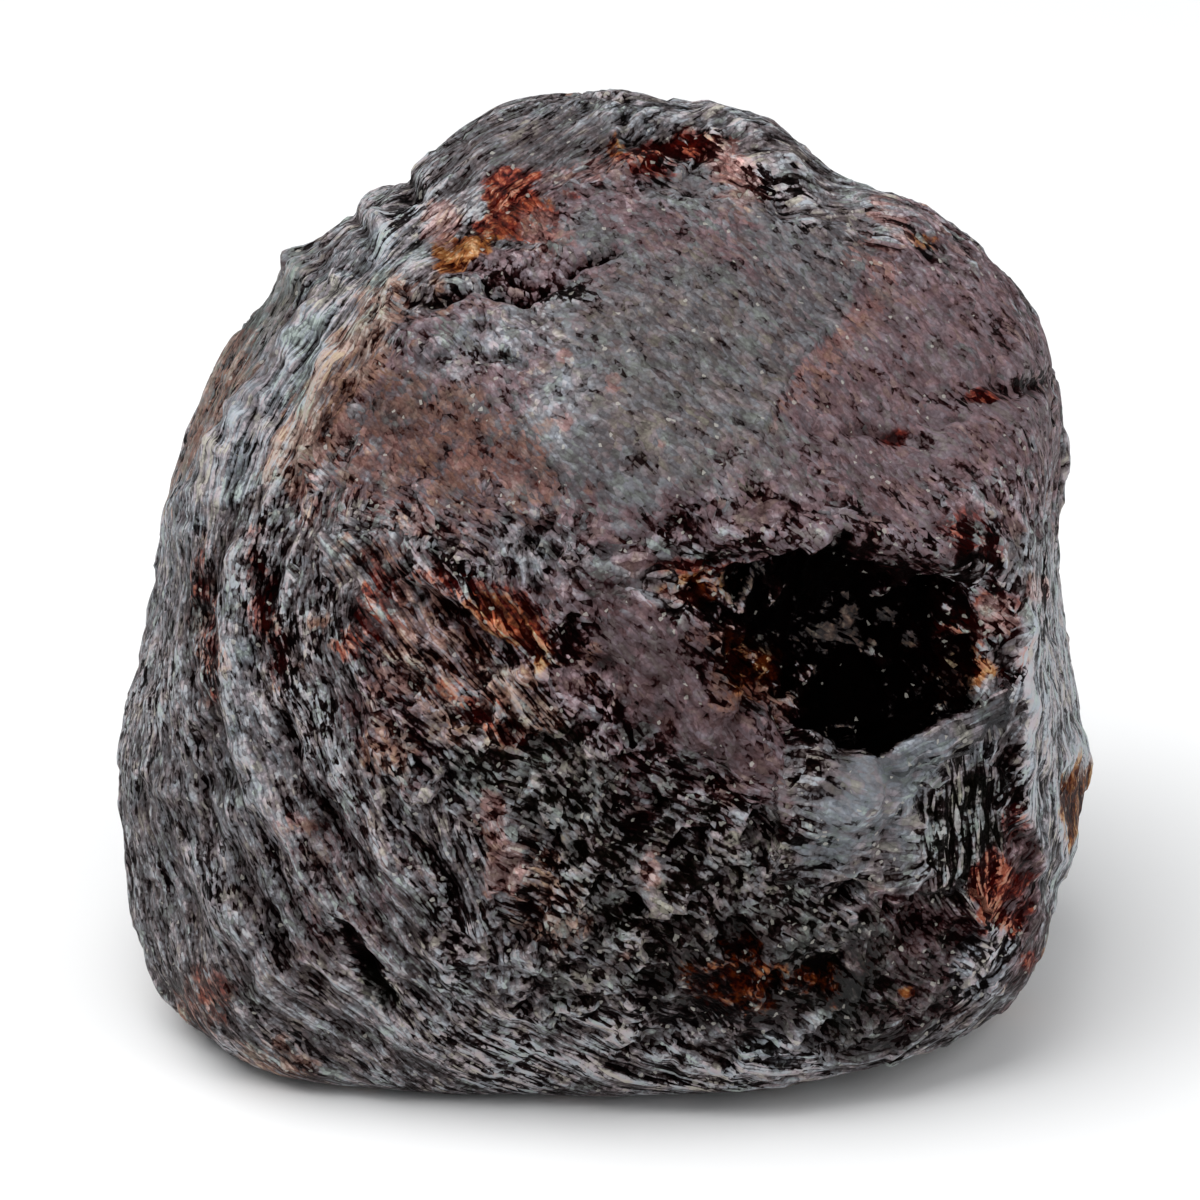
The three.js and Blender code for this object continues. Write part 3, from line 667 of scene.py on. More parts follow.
@dataclass
class CrystalBody:
    """The whole stone as one closed mesh, carved to shape and marked with what shows where."""

    view: Viewpoint
    map: MineralMap = field(default_factory=MineralMap)
    heights: Heights = Heights()
    grain_map: GrainMap = GrainMap()
    first_splits: int = 5
    cuts: int = 5
    crowding: float = 0.35
    smoothing: int = 30
    base_fade: float = 1.6
    wander: float = 1.0
    middle_tone: float = 0.51
    # Near and wide relief: the rounds of blurring each is measured against, and the height that counts as 1.
    near: tuple[int, float] = (10, 0.07)
    wide: tuple[int, float] = (60, 0.28)
    most_relief: float = 1.5
    # Where the layers wrap down the left flank and under, and how far inward they follow that line.
    wrap_line: Line = (
        (-3.0, 19.6), (-6.6, 16.8), (-10.5, 10.6), (-12.9, 5.9), (-14.1, 0.9), (-13.8, -1.8), (-12.4, -4.6),
        (-10.5, -7.9), (-7.8, -12.1), (-4.7, -15.9), (0.8, -18.6), (8.0, -18.8), (14.0, -16.4),
        (18.6, -12.0),
    )
    wrap_reach: float = 6.0
    folds: tuple[Fold, ...] = (
        # Bright ridges down the left flank, and the dark grooves beside them.
        Fold(((-6.4, 17.0), (-9.8, 12.9), (-12.9, 8.6), (-15.6, 4.2), (-17.0, 0.0)), 0.6, 0.55),
        Fold(((-5.2, 15.0), (-8.6, 11.6), (-11.6, 7.2), (-13.8, 2.6), (-14.4, -2.6)), 0.5, 0.4),
        Fold(((-8.0, 14.4), (-11.2, 10.4), (-14.0, 5.6), (-15.6, 1.6)), 0.45, -0.5),
        Fold(((-10.8, 17.4), (-9.5, 15.6), (-8.8, 14.0), (-9.8, 12.0)), 0.45, -0.5),
        # Small corners on the upper left rim.
        Fold(((-9.4, 18.4), (-7.8, 16.7), (-7.2, 15.0)), 0.4, -0.8),
        Fold(((-10.8, 17.6), (-9.3, 15.7), (-8.4, 14.4)), 0.6, 0.5),
        Fold(((-14.2, 15.4), (-12.3, 13.4), (-11.2, 12.0)), 0.7, 0.6),
        Fold(((-15.0, 2.2), (-15.9, -1.4), (-15.6, -4.6), (-14.2, -8.6)), 0.5, -0.8),
        Fold(((-12.4, 2.4), (-13.2, -0.6), (-12.9, -3.6), (-11.4, -7.4), (-9.0, -11.2)), 0.55, -0.9),
        Fold(((-14.2, 1.0), (-14.6, -2.4), (-13.6, -6.6), (-11.4, -10.6), (-8.4, -14.4)), 0.55, 0.5),
        Fold(((-17.6, -2.6), (-17.0, -7.6), (-14.8, -12.4), (-11.2, -16.2)), 0.5, 0.4),
        Fold(((-16.2, -5.0), (-15.0, -9.6), (-12.4, -13.6), (-9.2, -16.6)), 0.45, -0.5),
        Fold(((-10.4, -12.6), (-9.2, -14.6), (-7.8, -16.2)), 0.3, -0.9),
        Fold(((-10.6, -6.4), (-8.8, -10.2), (-6.0, -14.0), (-3.0, -16.6)), 0.5, 0.45),
        Fold(((-9.0, -6.2), (-7.2, -10.0), (-4.6, -13.2)), 0.45, -0.45),
        # The brow over the black hollow, and the smooth ridge beside it.
        Fold(((1.6, 2.6), (6.0, 2.6), (11.0, 2.2), (15.4, 1.8)), 0.8, 0.4),
        Fold(((4.0, 0.7), (8.0, 1.0), (12.0, 0.6), (15.4, -0.4)), 0.6, -0.9),
        Fold(((-0.4, 0.8), (2.4, -2.0), (4.8, -4.8), (6.8, -7.2)), 1.7, 0.6),
        Fold(((5.2, -1.0), (6.4, -3.6), (8.4, -6.2)), 0.5, -0.5),
        # The pale band under the hollow, running up to the right.
        Fold(((7.4, -9.4), (10.2, -7.8), (13.2, -5.6), (16.2, -3.4)), 1.0, 0.7),
        Fold(((8.6, -6.2), (11.2, -5.0), (14.2, -3.6)), 0.5, -0.5),
        Fold(((8.4, -12.0), (11.4, -11.0), (14.4, -11.8)), 0.6, -0.45),
        # The sharp edge to the right flank.
        Fold(((16.4, 1.0), (16.5, -3.0), (16.5, -7.6), (17.2, -11.4)), 0.45, 0.5),
        Fold(((17.3, 0.6), (17.3, -3.6), (17.5, -8.6)), 0.35, -0.35),
        Fold(((18.4, -4.8), (18.9, -7.4), (18.9, -9.2), (18.2, -11.4)), 1.0, 0.45),
        # Ribs of the dark ground at the middle left, and the pocket's pale rim.
        Fold(((-10.6, 0.8), (-7.4, -1.0), (-4.4, -2.8), (-2.0, -4.8)), 0.35, 0.45),
        Fold(((-9.8, -1.0), (-7.0, -2.6), (-4.4, -4.4)), 0.35, 0.4),
        Fold(((-7.2, 1.0), (-4.6, -0.4), (-2.6, -1.9)), 0.35, 0.45),
        Fold(((-8.6, 1.2), (-6.0, -0.6), (-3.4, -2.4)), 0.35, -0.5),
        Fold(((-3.4, -3.2), (-1.8, -2.4), (0.4, -1.5)), 0.35, 0.45),
        Fold(((-1.8, -0.8), (-0.6, -1.6), (0.3, -3.0)), 0.5, -0.6),
        # The step along the crown and its cracks.
        Fold(((10.6, 13.6), (9.4, 11.0), (7.4, 8.8), (6.0, 6.4), (4.7, 3.8)), 0.35, 0.26),
        Fold(((8.6, 10.0), (7.6, 9.0), (7.2, 8.0)), 0.18, -0.25),
        Fold(((7.6, 6.9), (9.8, 6.5), (12.0, 6.1), (13.8, 5.7)), 0.28, -0.4),
        Fold(((14.4, 9.0), (16.0, 8.5), (17.8, 8.1)), 0.42, -0.8),
        Fold(((-1.6, 12.7), (-0.6, 13.1), (0.9, 13.7)), 0.26, -0.6),
        Fold(((-5.0, 12.5), (-3.0, 12.2), (-0.8, 12.1)), 0.36, -0.8),
        Fold(((-6.4, 13.1), (-4.2, 13.1), (-1.6, 12.7)), 0.22, -0.35),
        Fold(((-8.0, 11.5), (-6.4, 11.8), (-4.8, 12.2)), 0.22, -0.35),
        Fold(((-8.0, 10.4), (-6.4, 11.0), (-4.6, 11.2), (-3.0, 10.8)), 0.4, 0.35),
        Fold(((-7.6, 9.6), (-6.0, 10.2), (-4.4, 10.2)), 0.35, 0.3),
        Fold(((-6.8, 9.3), (-5.4, 9.5), (-4.2, 9.6)), 0.2, -0.3),
        # The broken top.
        Fold(((0.6, 18.2), (2.2, 17.6), (4.4, 17.6)), 0.5, -0.8),
        Fold(((4.2, 18.6), (6.0, 16.8), (7.4, 14.8)), 0.5, -0.35),
        Fold(((3.2, 19.4), (5.8, 18.4), (8.6, 16.6)), 0.4, 0.3),
    )

    def build(self) -> bpy.types.Object:
        """Builds the stone.

        Returns:
            The finished object, in metres, with its attributes on its mesh.
        """
        solid = self._sphere()
        self._lay_on_crystal(solid)
        mesh = bpy.data.meshes.new("garnet_stone")
        solid.to_mesh(mesh)
        solid.free()
        self._carve(mesh)
        mesh.shade_smooth()
        stone = bpy.data.objects.new("garnet_stone", mesh)
        bpy.context.scene.collection.objects.link(stone)
        return stone

    def _sphere(self) -> bmesh.types.BMesh:
        """Makes a fine unit sphere whose triangles are drawn towards the front.

        Returns:
            The sphere.
        """
        solid = bmesh.new()
        bmesh.ops.create_icosphere(solid, subdivisions=self.first_splits, radius=1.0)
        bmesh.ops.subdivide_edges(solid, edges=solid.edges[:], cuts=self.cuts, use_grid_fill=True)
        front = Vector(self.view.front)
        for point in solid.verts:
            point.co = (point.co.normalized() + front * self.crowding).normalized()
        return solid

    def _lay_on_crystal(self, solid: bmesh.types.BMesh) -> None:
        """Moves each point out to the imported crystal, in millimetres from the centre, and smooths them.

        Args:
            solid: The unit sphere.
        """
        crystal = bmesh.new()
        crystal.from_mesh(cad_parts[STONE_NODE].data)
        bmesh.ops.remove_doubles(crystal, verts=crystal.verts[:], dist=WELD)
        bmesh.ops.scale(crystal, vec=(1 / MM, 1 / MM, 1 / MM), verts=crystal.verts[:])
        bmesh.ops.translate(crystal, vec=-Vector(self.view.centre), verts=crystal.verts[:])
        tree = BVHTree.FromBMesh(crystal)
        middle = Vector((0.0, 0.0, 0.0))
        for point in solid.verts:
            point.co, _, _, _ = tree.ray_cast(middle, point.co)
        crystal.free()
        for _ in range(self.smoothing):
            bmesh.ops.smooth_vert(
                solid, verts=solid.verts[:], factor=0.5, use_axis_x=True, use_axis_y=True, use_axis_z=True
            )
        solid.normal_update()

    def _carve(self, mesh: bpy.types.Mesh) -> None:
        """Carves the relief, writes the attributes, and brings the mesh to its place in metres.

        Args:
            mesh: The stone's mesh, in millimetres from its centre.
        """
        normals = read_vectors(mesh, "normal")
        skin = Skin(self.view, read_vectors(mesh, "co"), normals @ self.view.front, self.wander)
        points, shares = skin.points, skin.shares
        self._share_out(skin)
        skin.grains = self._grains(skin)
        lift = self._relief(skin)
        floor = -self.view.centre[2]
        above = smoothstep(0.0, self.base_fade, points[:, 2] - floor)
        points += normals * (lift * above)[:, None]
        points[:, 2] = np.maximum(points[:, 2], floor)
        near = self._spread(mesh, lift, self.near[0])
        wide = self._spread(mesh, near, self.wide[0])
        relief = 0.5 * (lift - near) / self.near[1] + 0.5 * (lift - wide) / self.wide[1]
        shares[Measure.RELIEF] = np.clip(relief, -self.most_relief, self.most_relief) * above
        shares[Measure.DARK] = self._dark_level(skin)
        shares[Measure.TONE] = self._base_tone(skin)
        shares[Measure.CONTRAST] = self._contrast(skin)
        for streak in STREAKS:
            shares[streak.across] = skin.grains[streak.ground] / streak.width
        for kind, values in shares.items():
            mesh.attributes.new(kind.value, "FLOAT", "POINT").data.foreach_set("value", values)
        placed = (points + np.array(self.view.centre)) * MM
        mesh.vertices.foreach_set("co", placed.ravel())
        mesh.update()

    def _spread(self, mesh: bpy.types.Mesh, values: np.ndarray, rounds: int) -> np.ndarray:
        """Gives values blurred over their neighbours on the mesh.

        Args:
            mesh: The mesh that the values are on.
            values: One value for each point.
            rounds: How many times each value is mixed with its neighbours.

        Returns:
            The blurred values.
        """
        ends = np.empty(len(mesh.edges) * 2, dtype=np.int64)
        mesh.edges.foreach_get("vertices", ends)
        one, other = ends.reshape(-1, 2).T
        count = len(values)
        neighbours = np.bincount(ends, minlength=count)
        for _ in range(rounds):
            total = np.bincount(one, values[other], count) + np.bincount(other, values[one], count)
            values = 0.5 * values + 0.5 * total / neighbours
        return values

    def _share_out(self, skin: Skin) -> None:
        """Gives each mineral and each ground its share at each point.

        Args:
            skin: The stone's points, whose shares are filled in.
        """
        shares, points = skin.shares, skin.points
        rough = cloudy(points, 1.3, 4, 5.7)
        for kind, patches in (self.map.minerals | self.map.grounds).items():
            total = np.maximum.reduce([np.zeros(len(points)), *skin.patch_shares(patches, rough)])
            shares[kind] = np.minimum(total * skin.fore, 1.0)
        for kind, shift, share in self.map.behind:
            loose = smoothstep(0.12, 0.42, cloudy(points, 7.5, 3, shift))
            shares[kind] = np.maximum(shares[kind], share * loose * (1.0 - skin.fore))
        worked = np.maximum.reduce([shares[Ground.SCUFF], shares[Ground.BROKEN], shares[Ground.RIBBED]])
        shares[Ground.WRAP] = np.clip(1.0 - worked, 0.0, 1.0)

    def _grains(self, skin: Skin) -> dict[Ground, np.ndarray]:
        """Works out how far across its grain each point lies, for each kind of ground.

        Args:
            skin: The stone's points.

        Returns:
            The distance across the grain in millimetres, by ground.
        """
        view, lay, points = self.view, self.grain_map, skin.points
        across, up = skin.seen.T
        sway = 0.7 * cloudy(points, 5.0, 3, 3.1)
        beside, _ = along_line(skin.seen, rounded(self.wrap_line))
        inward = self.wrap_reach * np.tanh(beside / self.wrap_reach)
        rightward = 1.3 * np.logaddexp(0.0, points[:, 0] - 13.0)
        layers = points @ view.front + inward * smoothstep(-0.6, 0.2, skin.facing) - rightward + sway
        band = points @ view.slanted(lay.band) + 0.5 * sway
        upright = points @ view.slanted(lay.upright) + 0.4 * sway
        # Borders between two grains are ragged, because a straight one would show as a seam.
        ragged = up + 0.9 * cloudy(points, 1.0, 3, 81.0)
        low_right = (across > lay.band_left) & (ragged > lay.band_foot)
        under_band = ragged < lay.band_up + lay.band_rise * (across - lay.band_across)
        low_left = (across < lay.corner_right) & (ragged < lay.corner_top)
        ridge = (across < lay.ridge_right) & (ragged > lay.ridge_foot) | (across < lay.flank_right)
        strip = across > lay.strip_left
        ribs = points @ view.slanted(lay.ribs) + 0.5 * sway
        for place, grain in (
            (low_right, np.where(under_band, upright, band)),
            (low_left, points @ view.slanted(lay.corner) + 0.3 * sway),
            (ridge, layers - sway + 0.6 * cloudy(points, 7.0, 1, 3.1)),
            (strip, 0.5 * points[:, 0] - 0.85 * points @ view.front + 0.2 * sway),
        ):
            ribs = np.where(place, grain, ribs)
        splinters = points @ view.slanted(lay.splinters) + 1.2 * sway
        return {
            Ground.WRAP: layers,
            Ground.SCUFF: points @ view.slanted(lay.scuffs) + sway,
            Ground.BROKEN: np.where(low_right & (up < lay.band_splinters_top), band, splinters),
            Ground.RIBBED: ribs,
        }

    def _strands(self, skin: Skin) -> np.ndarray:
        """Gives the broad strands of the wrapping layers: above 0 on a crest, and below 0 between."""
        return creases(skin.drawn(Ground.WRAP, 9.0, 1.9), 1.0, 3, 0.0) - 0.62

    def _base_tone(self, skin: Skin) -> np.ndarray:
        """Gives how light the ground is, before its fine relief, with the carved relief painted in: lighter
        on the strands' crests and raised places as painted highlight, darker in the furrows and sunk places
        as painted shade.

        Args:
            skin: The stone's points.

        Returns:
            A tone for each point, from 0 for black to 1 for the palest crest.
        """
        shares, (across, up) = skin.shares, skin.seen.T
        change = sum(skin.patch_shares(self.map.tones, cloudy(skin.points, 1.5, 3, 19.0)))
        # The bottom is cloudier than the rest, and the strands show less low on the left flank.
        cloudiness = 0.05 + 0.3 * smoothstep(-15.5, -17.5, up)
        clouds = cloudiness * cloudy(skin.points, 2.4, 4, 71.0)
        clouds += 0.07 * cloudy(skin.drawn(Ground.SCUFF, 1.8, 0.7), 1.0, 3, 73.0)
        strong = 0.32 - 0.14 * smoothstep(-7.0, -9.0, across) * smoothstep(-2.0, -5.0, up)
        # Painted highlight and shade of the carved relief: the strands' crests and raised places lighter,
        # the furrows and sunk places darker.
        clouds += shares[Ground.WRAP] * strong * self._strands(skin) + 0.05 * shares[Measure.RELIEF]
        return self.middle_tone + change * skin.fore + clouds

    def _contrast(self, skin: Skin) -> np.ndarray:
        """Gives how strongly the fine relief is painted into the tone, as highlight on its crests and shade
        in its pits.

        Args:
            skin: The stone's points.

        Returns:
            The change in tone for a change of 1 in the relief, for each point.
        """
        shares = skin.shares
        change = sum(skin.patch_shares(self.map.contrasts, cloudy(skin.points, 1.5, 3, 57.0)))
        level = 1.75 - shares[Ground.SCUFF] - 0.3 * shares[Ground.BROKEN] + 0.6 * shares[Mineral.RED]
        return level + change * skin.fore

    def _dark_level(self, skin: Skin) -> np.ndarray:
        """Gives the height of fine relief below which the ground is painted black: painted shade in its
        pits, and the black of the dark minerals.

        Args:
            skin: The stone's points.

        Returns:
            A level for each point, about 0.3 where pits are rare to 0.9 where all is black.
        """
        shares, points = skin.shares, skin.points
        rough = cloudy(points, 1.1, 4, 9.1)
        level = 0.31 + 0.045 * shares[Ground.WRAP] - 0.075 * shares[Ground.SCUFF]
        level = level + 0.03 * shares[Ground.BROKEN]
        level += 0.09 * cloudy(points, 2.4, 4, 9.7)
        darker = np.zeros(len(points))
        for share in skin.patch_shares(self.map.darks, rough):
            darker = np.maximum(darker, share) + 0.25 * np.minimum(darker, share)
        for share in skin.patch_shares(self.map.lights, rough):
            darker = darker - share
        layers = cloudy(skin.drawn(Ground.WRAP, 4.0, 1.0), 1.0, 3, 27.0)
        level += 0.10 * shares[Ground.WRAP] * layers
        loose = smoothstep(0.1, 0.5, cloudy(points, 6.0, 3, 51.0))
        return level + darker * skin.fore + 0.14 * loose * (1.0 - skin.fore)

    def _relief(self, skin: Skin) -> np.ndarray:
        """Works out how far each point is lifted or sunk.

        Args:
            skin: The stone's points.

        Returns:
            The lift of each point in millimetres.
        """
        points, shares, high = skin.points, skin.shares, self.heights
        across, up = skin.seen.T
        lift = high.lumps * cloudy(points, 7.0, 3, 1.3)
        bent = points + 0.35 * cloudy(points, 1.2, 2, 8.0)[:, None]
        # Layers that wrap round the sides.
        fine = creases(skin.drawn(Ground.WRAP, 3.4, 0.8), 1.0, 2, 9.0)
        wrapped = high.strands * self._strands(skin) + high.layers * (fine - 0.6)
        lift += shares[Ground.WRAP] * (wrapped + high.plates * shards(bent, 3.4, 0.5, 5.0))
        # Scuffed grain, with small pits drawn out along it.
        grain = cloudy(skin.drawn(Ground.SCUFF, 2.6, 1.1), 1.0, 4, 13.0)
        pits = smoothstep(0.3, 0.6, cloudy(skin.drawn(Ground.SCUFF, 1.5, 0.7), 1.0, 2, 21.0))
        lift += shares[Ground.SCUFF] * (high.scuffs * grain - high.pits * pits)
        # Broken ground: splinters and crumbs, calmer beside the hollow and on the amber hump.
        broken = high.splinters * shards(bent, 1.7, 0.5, 1.0)
        broken += high.splinter_edges * (creases(points, 1.6, 3, 4.0) - 0.6)
        calm = 1.0 - 0.6 * smoothstep(6.0, 8.0, across) * smoothstep(-12.0, -10.5, up)
        calm -= 0.55 * smoothstep(-4.0, -6.0, across) * smoothstep(2.0, 3.5, up)
        crumbs = high.crumbs * cloudy(points, 0.8, 2, 14.0)
        lift += shares[Ground.BROKEN] * calm * (broken - high.broken_below + crumbs)
        # Ribbed ground, whose ribs are broken across.
        ribs = creases(skin.drawn(Ground.RIBBED, 3.4, 0.9), 1.0, 3, 17.0)
        breaks = high.rib_breaks * shards(bent, 1.0, 0.6, 3.0)
        lift += shares[Ground.RIBBED] * calm * (high.ribs * (ribs - 0.6) + breaks)
        # The black garnet breaks in shells, lower than its surroundings.
        lift += shares[Mineral.BLACK] * (high.shells * shards(bent, 2.4, 0.5, 4.0) - high.hollow)
        return lift + self._folded(skin)

    def _folded(self, skin: Skin) -> np.ndarray:
        """Works out how far the folds lift each point.

        Args:
            skin: The stone's points.

        Returns:
            The lift of each point in millimetres, uneven along each fold.
        """
        fore = smoothstep(-0.15, 0.1, skin.facing)
        flat = np.concatenate([skin.seen, np.zeros((len(skin.seen), 1))], axis=1)
        wander = 0.4 * np.stack([cloudy(flat, 2.4, 3, shift) for shift in (1.0, 2.0)], axis=1)
        uneven = np.clip(0.75 + 0.9 * cloudy(skin.points, 2.2, 3, 6.0), 0.1, 1.6)
        return sum(fold.lift(skin.seen + wander) * fore * uneven for fold in self.folds)


class Nodes:
    """Places nodes in one tree and joins them up."""

    def __init__(self, tree: bpy.types.NodeTree) -> None:
        """Starts with an emptied tree."""
        self.tree = tree
        tree.nodes.clear()

    def add(
        self, kind: str, inputs: dict[str | int, object] | None = None, **settings: object
    ) -> bpy.types.Node:
        """Adds a node.

        Args:
            kind: The node's type.
            inputs: What goes into its sockets: another node's socket, or a value.
            settings: The node's own properties.

        Returns:
            The new node.
        """
        node = self.tree.nodes.new(kind)
        for name, value in settings.items():
            setattr(node, name, value)
        for socket, value in (inputs or {}).items():
            if isinstance(value, Socket):
                self.tree.links.new(value, node.inputs[socket])
            else:
                node.inputs[socket].default_value = value
        return node

    def attribute(self, kind: Enum) -> Socket:
        """Reads one of the stone's attributes."""
        return self.add("ShaderNodeAttribute", attribute_name=kind.value).outputs["Fac"]

    def math(self, operation: str, *values: object) -> Socket:
        """Works out a sum on up to three values."""
        inputs = dict(enumerate(values))
        return self.add("ShaderNodeMath", inputs, operation=operation).outputs[0]

    def swing(self, base: object, part: Socket, amount: float) -> Socket:
        """Adds to a base how far a part from 0 to 1 lies from its middle, times an amount."""
        return self.math("MULTIPLY_ADD", self.math("SUBTRACT", part, 0.5), amount, base)

    def step(self, value: Socket, low: float, high: float) -> Socket:
        """Eases from 0 at low to 1 at high."""
        inputs = {"Value": value, "From Min": low, "From Max": high}
        return self.add("ShaderNodeMapRange", inputs, interpolation_type="SMOOTHSTEP").outputs["Result"]

    def mix(self, share: object, one: object, other: object, blend: str = "MIX") -> Socket:
        """Mixes two colours by a share."""
        inputs = {0: share, 6: one, 7: other}
        return self.add("ShaderNodeMix", inputs, data_type="RGBA", blend_type=blend).outputs[2]

    def blend(self, share: object, one: object, other: object) -> Socket:
        """Mixes two values by a share."""
        return self.add("ShaderNodeMix", {0: share, 2: one, 3: other}, data_type="FLOAT").outputs[0]

    def noise(self, place: Socket, size: float, detail: float, rough: float) -> Socket:
        """Gives cloudy noise from 0 to 1 whose largest lumps have a size in millimetres."""
        inputs = {"Vector": place, "Scale": 1.0 / size, "Detail": detail, "Roughness": rough}
        return self.add("ShaderNodeTexNoise", inputs).outputs[0]

    def ramp(self, value: Socket, stops: tuple[tuple[float, Colour], ...]) -> Socket:
        """Turns a value into a colour.

        Args:
            value: The value, from 0 to 1.
            stops: Each place on the ramp and its colour, in order.

        Returns:
            The colour.
        """
        node = self.add("ShaderNodeValToRGB", {"Fac": value})
        elements = node.color_ramp.elements
        for element, (place, colour) in zip(elements, (stops[0], stops[-1])):
            element.position, element.color = place, (*colour, 1.0)
        for place, colour in stops[1:-1]:
            elements.new(place).color = (*colour, 1.0)
        return node.outputs["Color"]


@dataclass(frozen=True)
class Veneer:
    """How one mineral looks: its colours from pit to crest, its most cover, and how mottled it is."""

    kind: Mineral
    colours: tuple[Colour, ...]
    most: float = 1.0
    mottled: float = 0.0


@dataclass(frozen=True)
class StoneFinish:
    """The stone's finish: worn grey schist over dark garnet, with windows of other minerals, and its fine
    relief painted in as shade and highlight.
    """

    bump_distance: float = 0.00024
    roughness: float = 0.68
    polish: float = -0.15
    shine: float = 0.32
    # The tone of the painted shade in shallow pits.
    pit_tone: float = 0.2
    # Fine relief: the size of its streaks and how many splinters there are to a unit, both in drawn-out
    # places, how many grains to a millimetre, and how high each stands, as a share of the bump.
    streak_size: float = 2.2
    streak_detail: float = 3.5
    streak_rough: float = 0.64
    streak_height: float = 0.85
    splinters_each: float = 1.35
    splinter_height: float = 0.46
    splinter_doming: float = -0.12
    grains_each: float = 7.0
    grain_height: float = 0.20
    grain_doming: float = -0.08
    splinter_tone_cut: float = -0.16
    # The share that covers half, how softly the cover ends, and the flecks' level, colour and cover.
    cover_middle: float = 0.45
    cover_soft: float = 0.3
    # The flecks are pale grains and painted glints.
    fleck_level: float = 0.993
    glint_fleck_colour: tuple[float, float, float, float] = (0.40, 0.38, 0.34, 1.0)
    fleck_cover: float = 0.6
    tones: tuple[float, ...] = (0.0, 0.2, 0.45, 0.7, 1.0)
    schist: tuple[Colour, ...] = (
        (0.002, 0.001, 0.001), (0.018, 0.010, 0.010), (0.074, 0.063, 0.066), (0.180, 0.172, 0.178),
        (0.42, 0.42, 0.43),
    )
    # The skin leans to green, blue, pink and tan in turn, in places about a millimetre wide.
    hues: tuple[tuple[float, Colour], ...] = (
        (0.32, (0.84, 0.95, 0.86)), (0.43, (0.88, 0.93, 1.0)), (0.51, (0.95, 0.94, 0.94)),
        (0.59, (1.0, 0.85, 0.88)), (0.70, (1.0, 0.92, 0.76)),
    )
    veneers: tuple[Veneer, ...] = (
        Veneer(Mineral.PURPLE, (
            (0.004, 0.001, 0.001), (0.034, 0.010, 0.011), (0.088, 0.051, 0.056), (0.180, 0.124, 0.136),
            (0.38, 0.32, 0.34),
        ), 0.9),
        Veneer(Mineral.GREEN, (
            (0.002, 0.002, 0.001), (0.014, 0.014, 0.012), (0.066, 0.070, 0.063), (0.165, 0.178, 0.166),
            (0.38, 0.40, 0.38),
        ), 0.8),
        Veneer(Mineral.MICA, (
            (0.003, 0.002, 0.002), (0.028, 0.026, 0.028), (0.092, 0.094, 0.102), (0.205, 0.212, 0.228),
            (0.46, 0.47, 0.49),
        ), 0.85),
        Veneer(Mineral.RUST, (
            (0.005, 0.001, 0.001), (0.045, 0.014, 0.008), (0.125, 0.060, 0.040), (0.250, 0.150, 0.108),
            (0.47, 0.37, 0.30),
        ), 0.85),
        Veneer(Mineral.AMBER, (
            (0.012, 0.001, 0.001), (0.075, 0.013, 0.002), (0.180, 0.054, 0.008), (0.300, 0.130, 0.040),
            (0.50, 0.33, 0.18),
        ), 1.0, 1.2),
        Veneer(Mineral.RED, (
            (0.014, 0.001, 0.001), (0.048, 0.003, 0.002), (0.130, 0.013, 0.005), (0.280, 0.062, 0.024),
            (0.46, 0.20, 0.12),
        ), 0.92, -1.8),
        Veneer(Mineral.PINK, (
            (0.008, 0.001, 0.001), (0.060, 0.018, 0.015), (0.150, 0.076, 0.066), (0.270, 0.170, 0.155),
            (0.56, 0.43, 0.40),
        ), 0.8),
        Veneer(Mineral.BLACK, (
            (0.0004, 0.0003, 0.0003), (0.001, 0.0006, 0.0006), (0.006, 0.003, 0.002), (0.050, 0.028, 0.016),
            (0.20, 0.15, 0.10),
        ), 0.9),
    )

    def build(self) -> bpy.types.Material:
        """Builds the finish.

        Returns:
            The material.
        """
        material = bpy.data.materials.new("garnet_with_schist_skin")
        material.use_nodes = True
        nodes = Nodes(material.node_tree)
        place = self._place(nodes)
        height, chance, fleck = self._relief(nodes, place)
        over = nodes.math("SUBTRACT", height, nodes.attribute(Measure.DARK))
        tone = self._tone(nodes, height, over, chance.outputs[0])
        colour = self._flecks(nodes, fleck, self._skin(nodes, place, tone, chance.outputs[2]))
        # Where the relief sinks below the dark level: the pits, painted as shade.
        sunk = nodes.step(over, 0.01, -0.08)
        glassy = nodes.math("MAXIMUM", nodes.attribute(Mineral.RED), nodes.attribute(Mineral.AMBER))
        deep = nodes.math("MAXIMUM", sunk, nodes.math("MULTIPLY", nodes.step(glassy, 0.3, 0.8), 0.7))
        rough = nodes.math("MULTIPLY_ADD", tone, self.polish, self.roughness)
        bump_inputs = {"Strength": 1.0, "Distance": self.bump_distance, "Height": height}
        bump = nodes.add("ShaderNodeBump", bump_inputs)
        # A metal's reflection takes its own colour, so black places don't shine and windows stay deep. The
        # sunk places are made metal as painted shade: they reflect nothing, as though shaded deep in their
        # crevices.
        shader = nodes.add("ShaderNodeBsdfPrincipled", {
            "Base Color": colour, "Roughness": rough, "Metallic": deep,
            "Specular IOR Level": self.shine, "Normal": bump.outputs[0],
        })
        nodes.add("ShaderNodeOutputMaterial", {"Surface": shader.outputs[0]})
        return material

    def _place(self, nodes: Nodes) -> Socket:
        """Gives each point's place in millimetres."""
        coordinates = nodes.add("ShaderNodeTexCoord").outputs["Object"]
        return nodes.add("ShaderNodeVectorMath", {0: coordinates, 3: 1 / MM}, operation="SCALE").outputs[0]

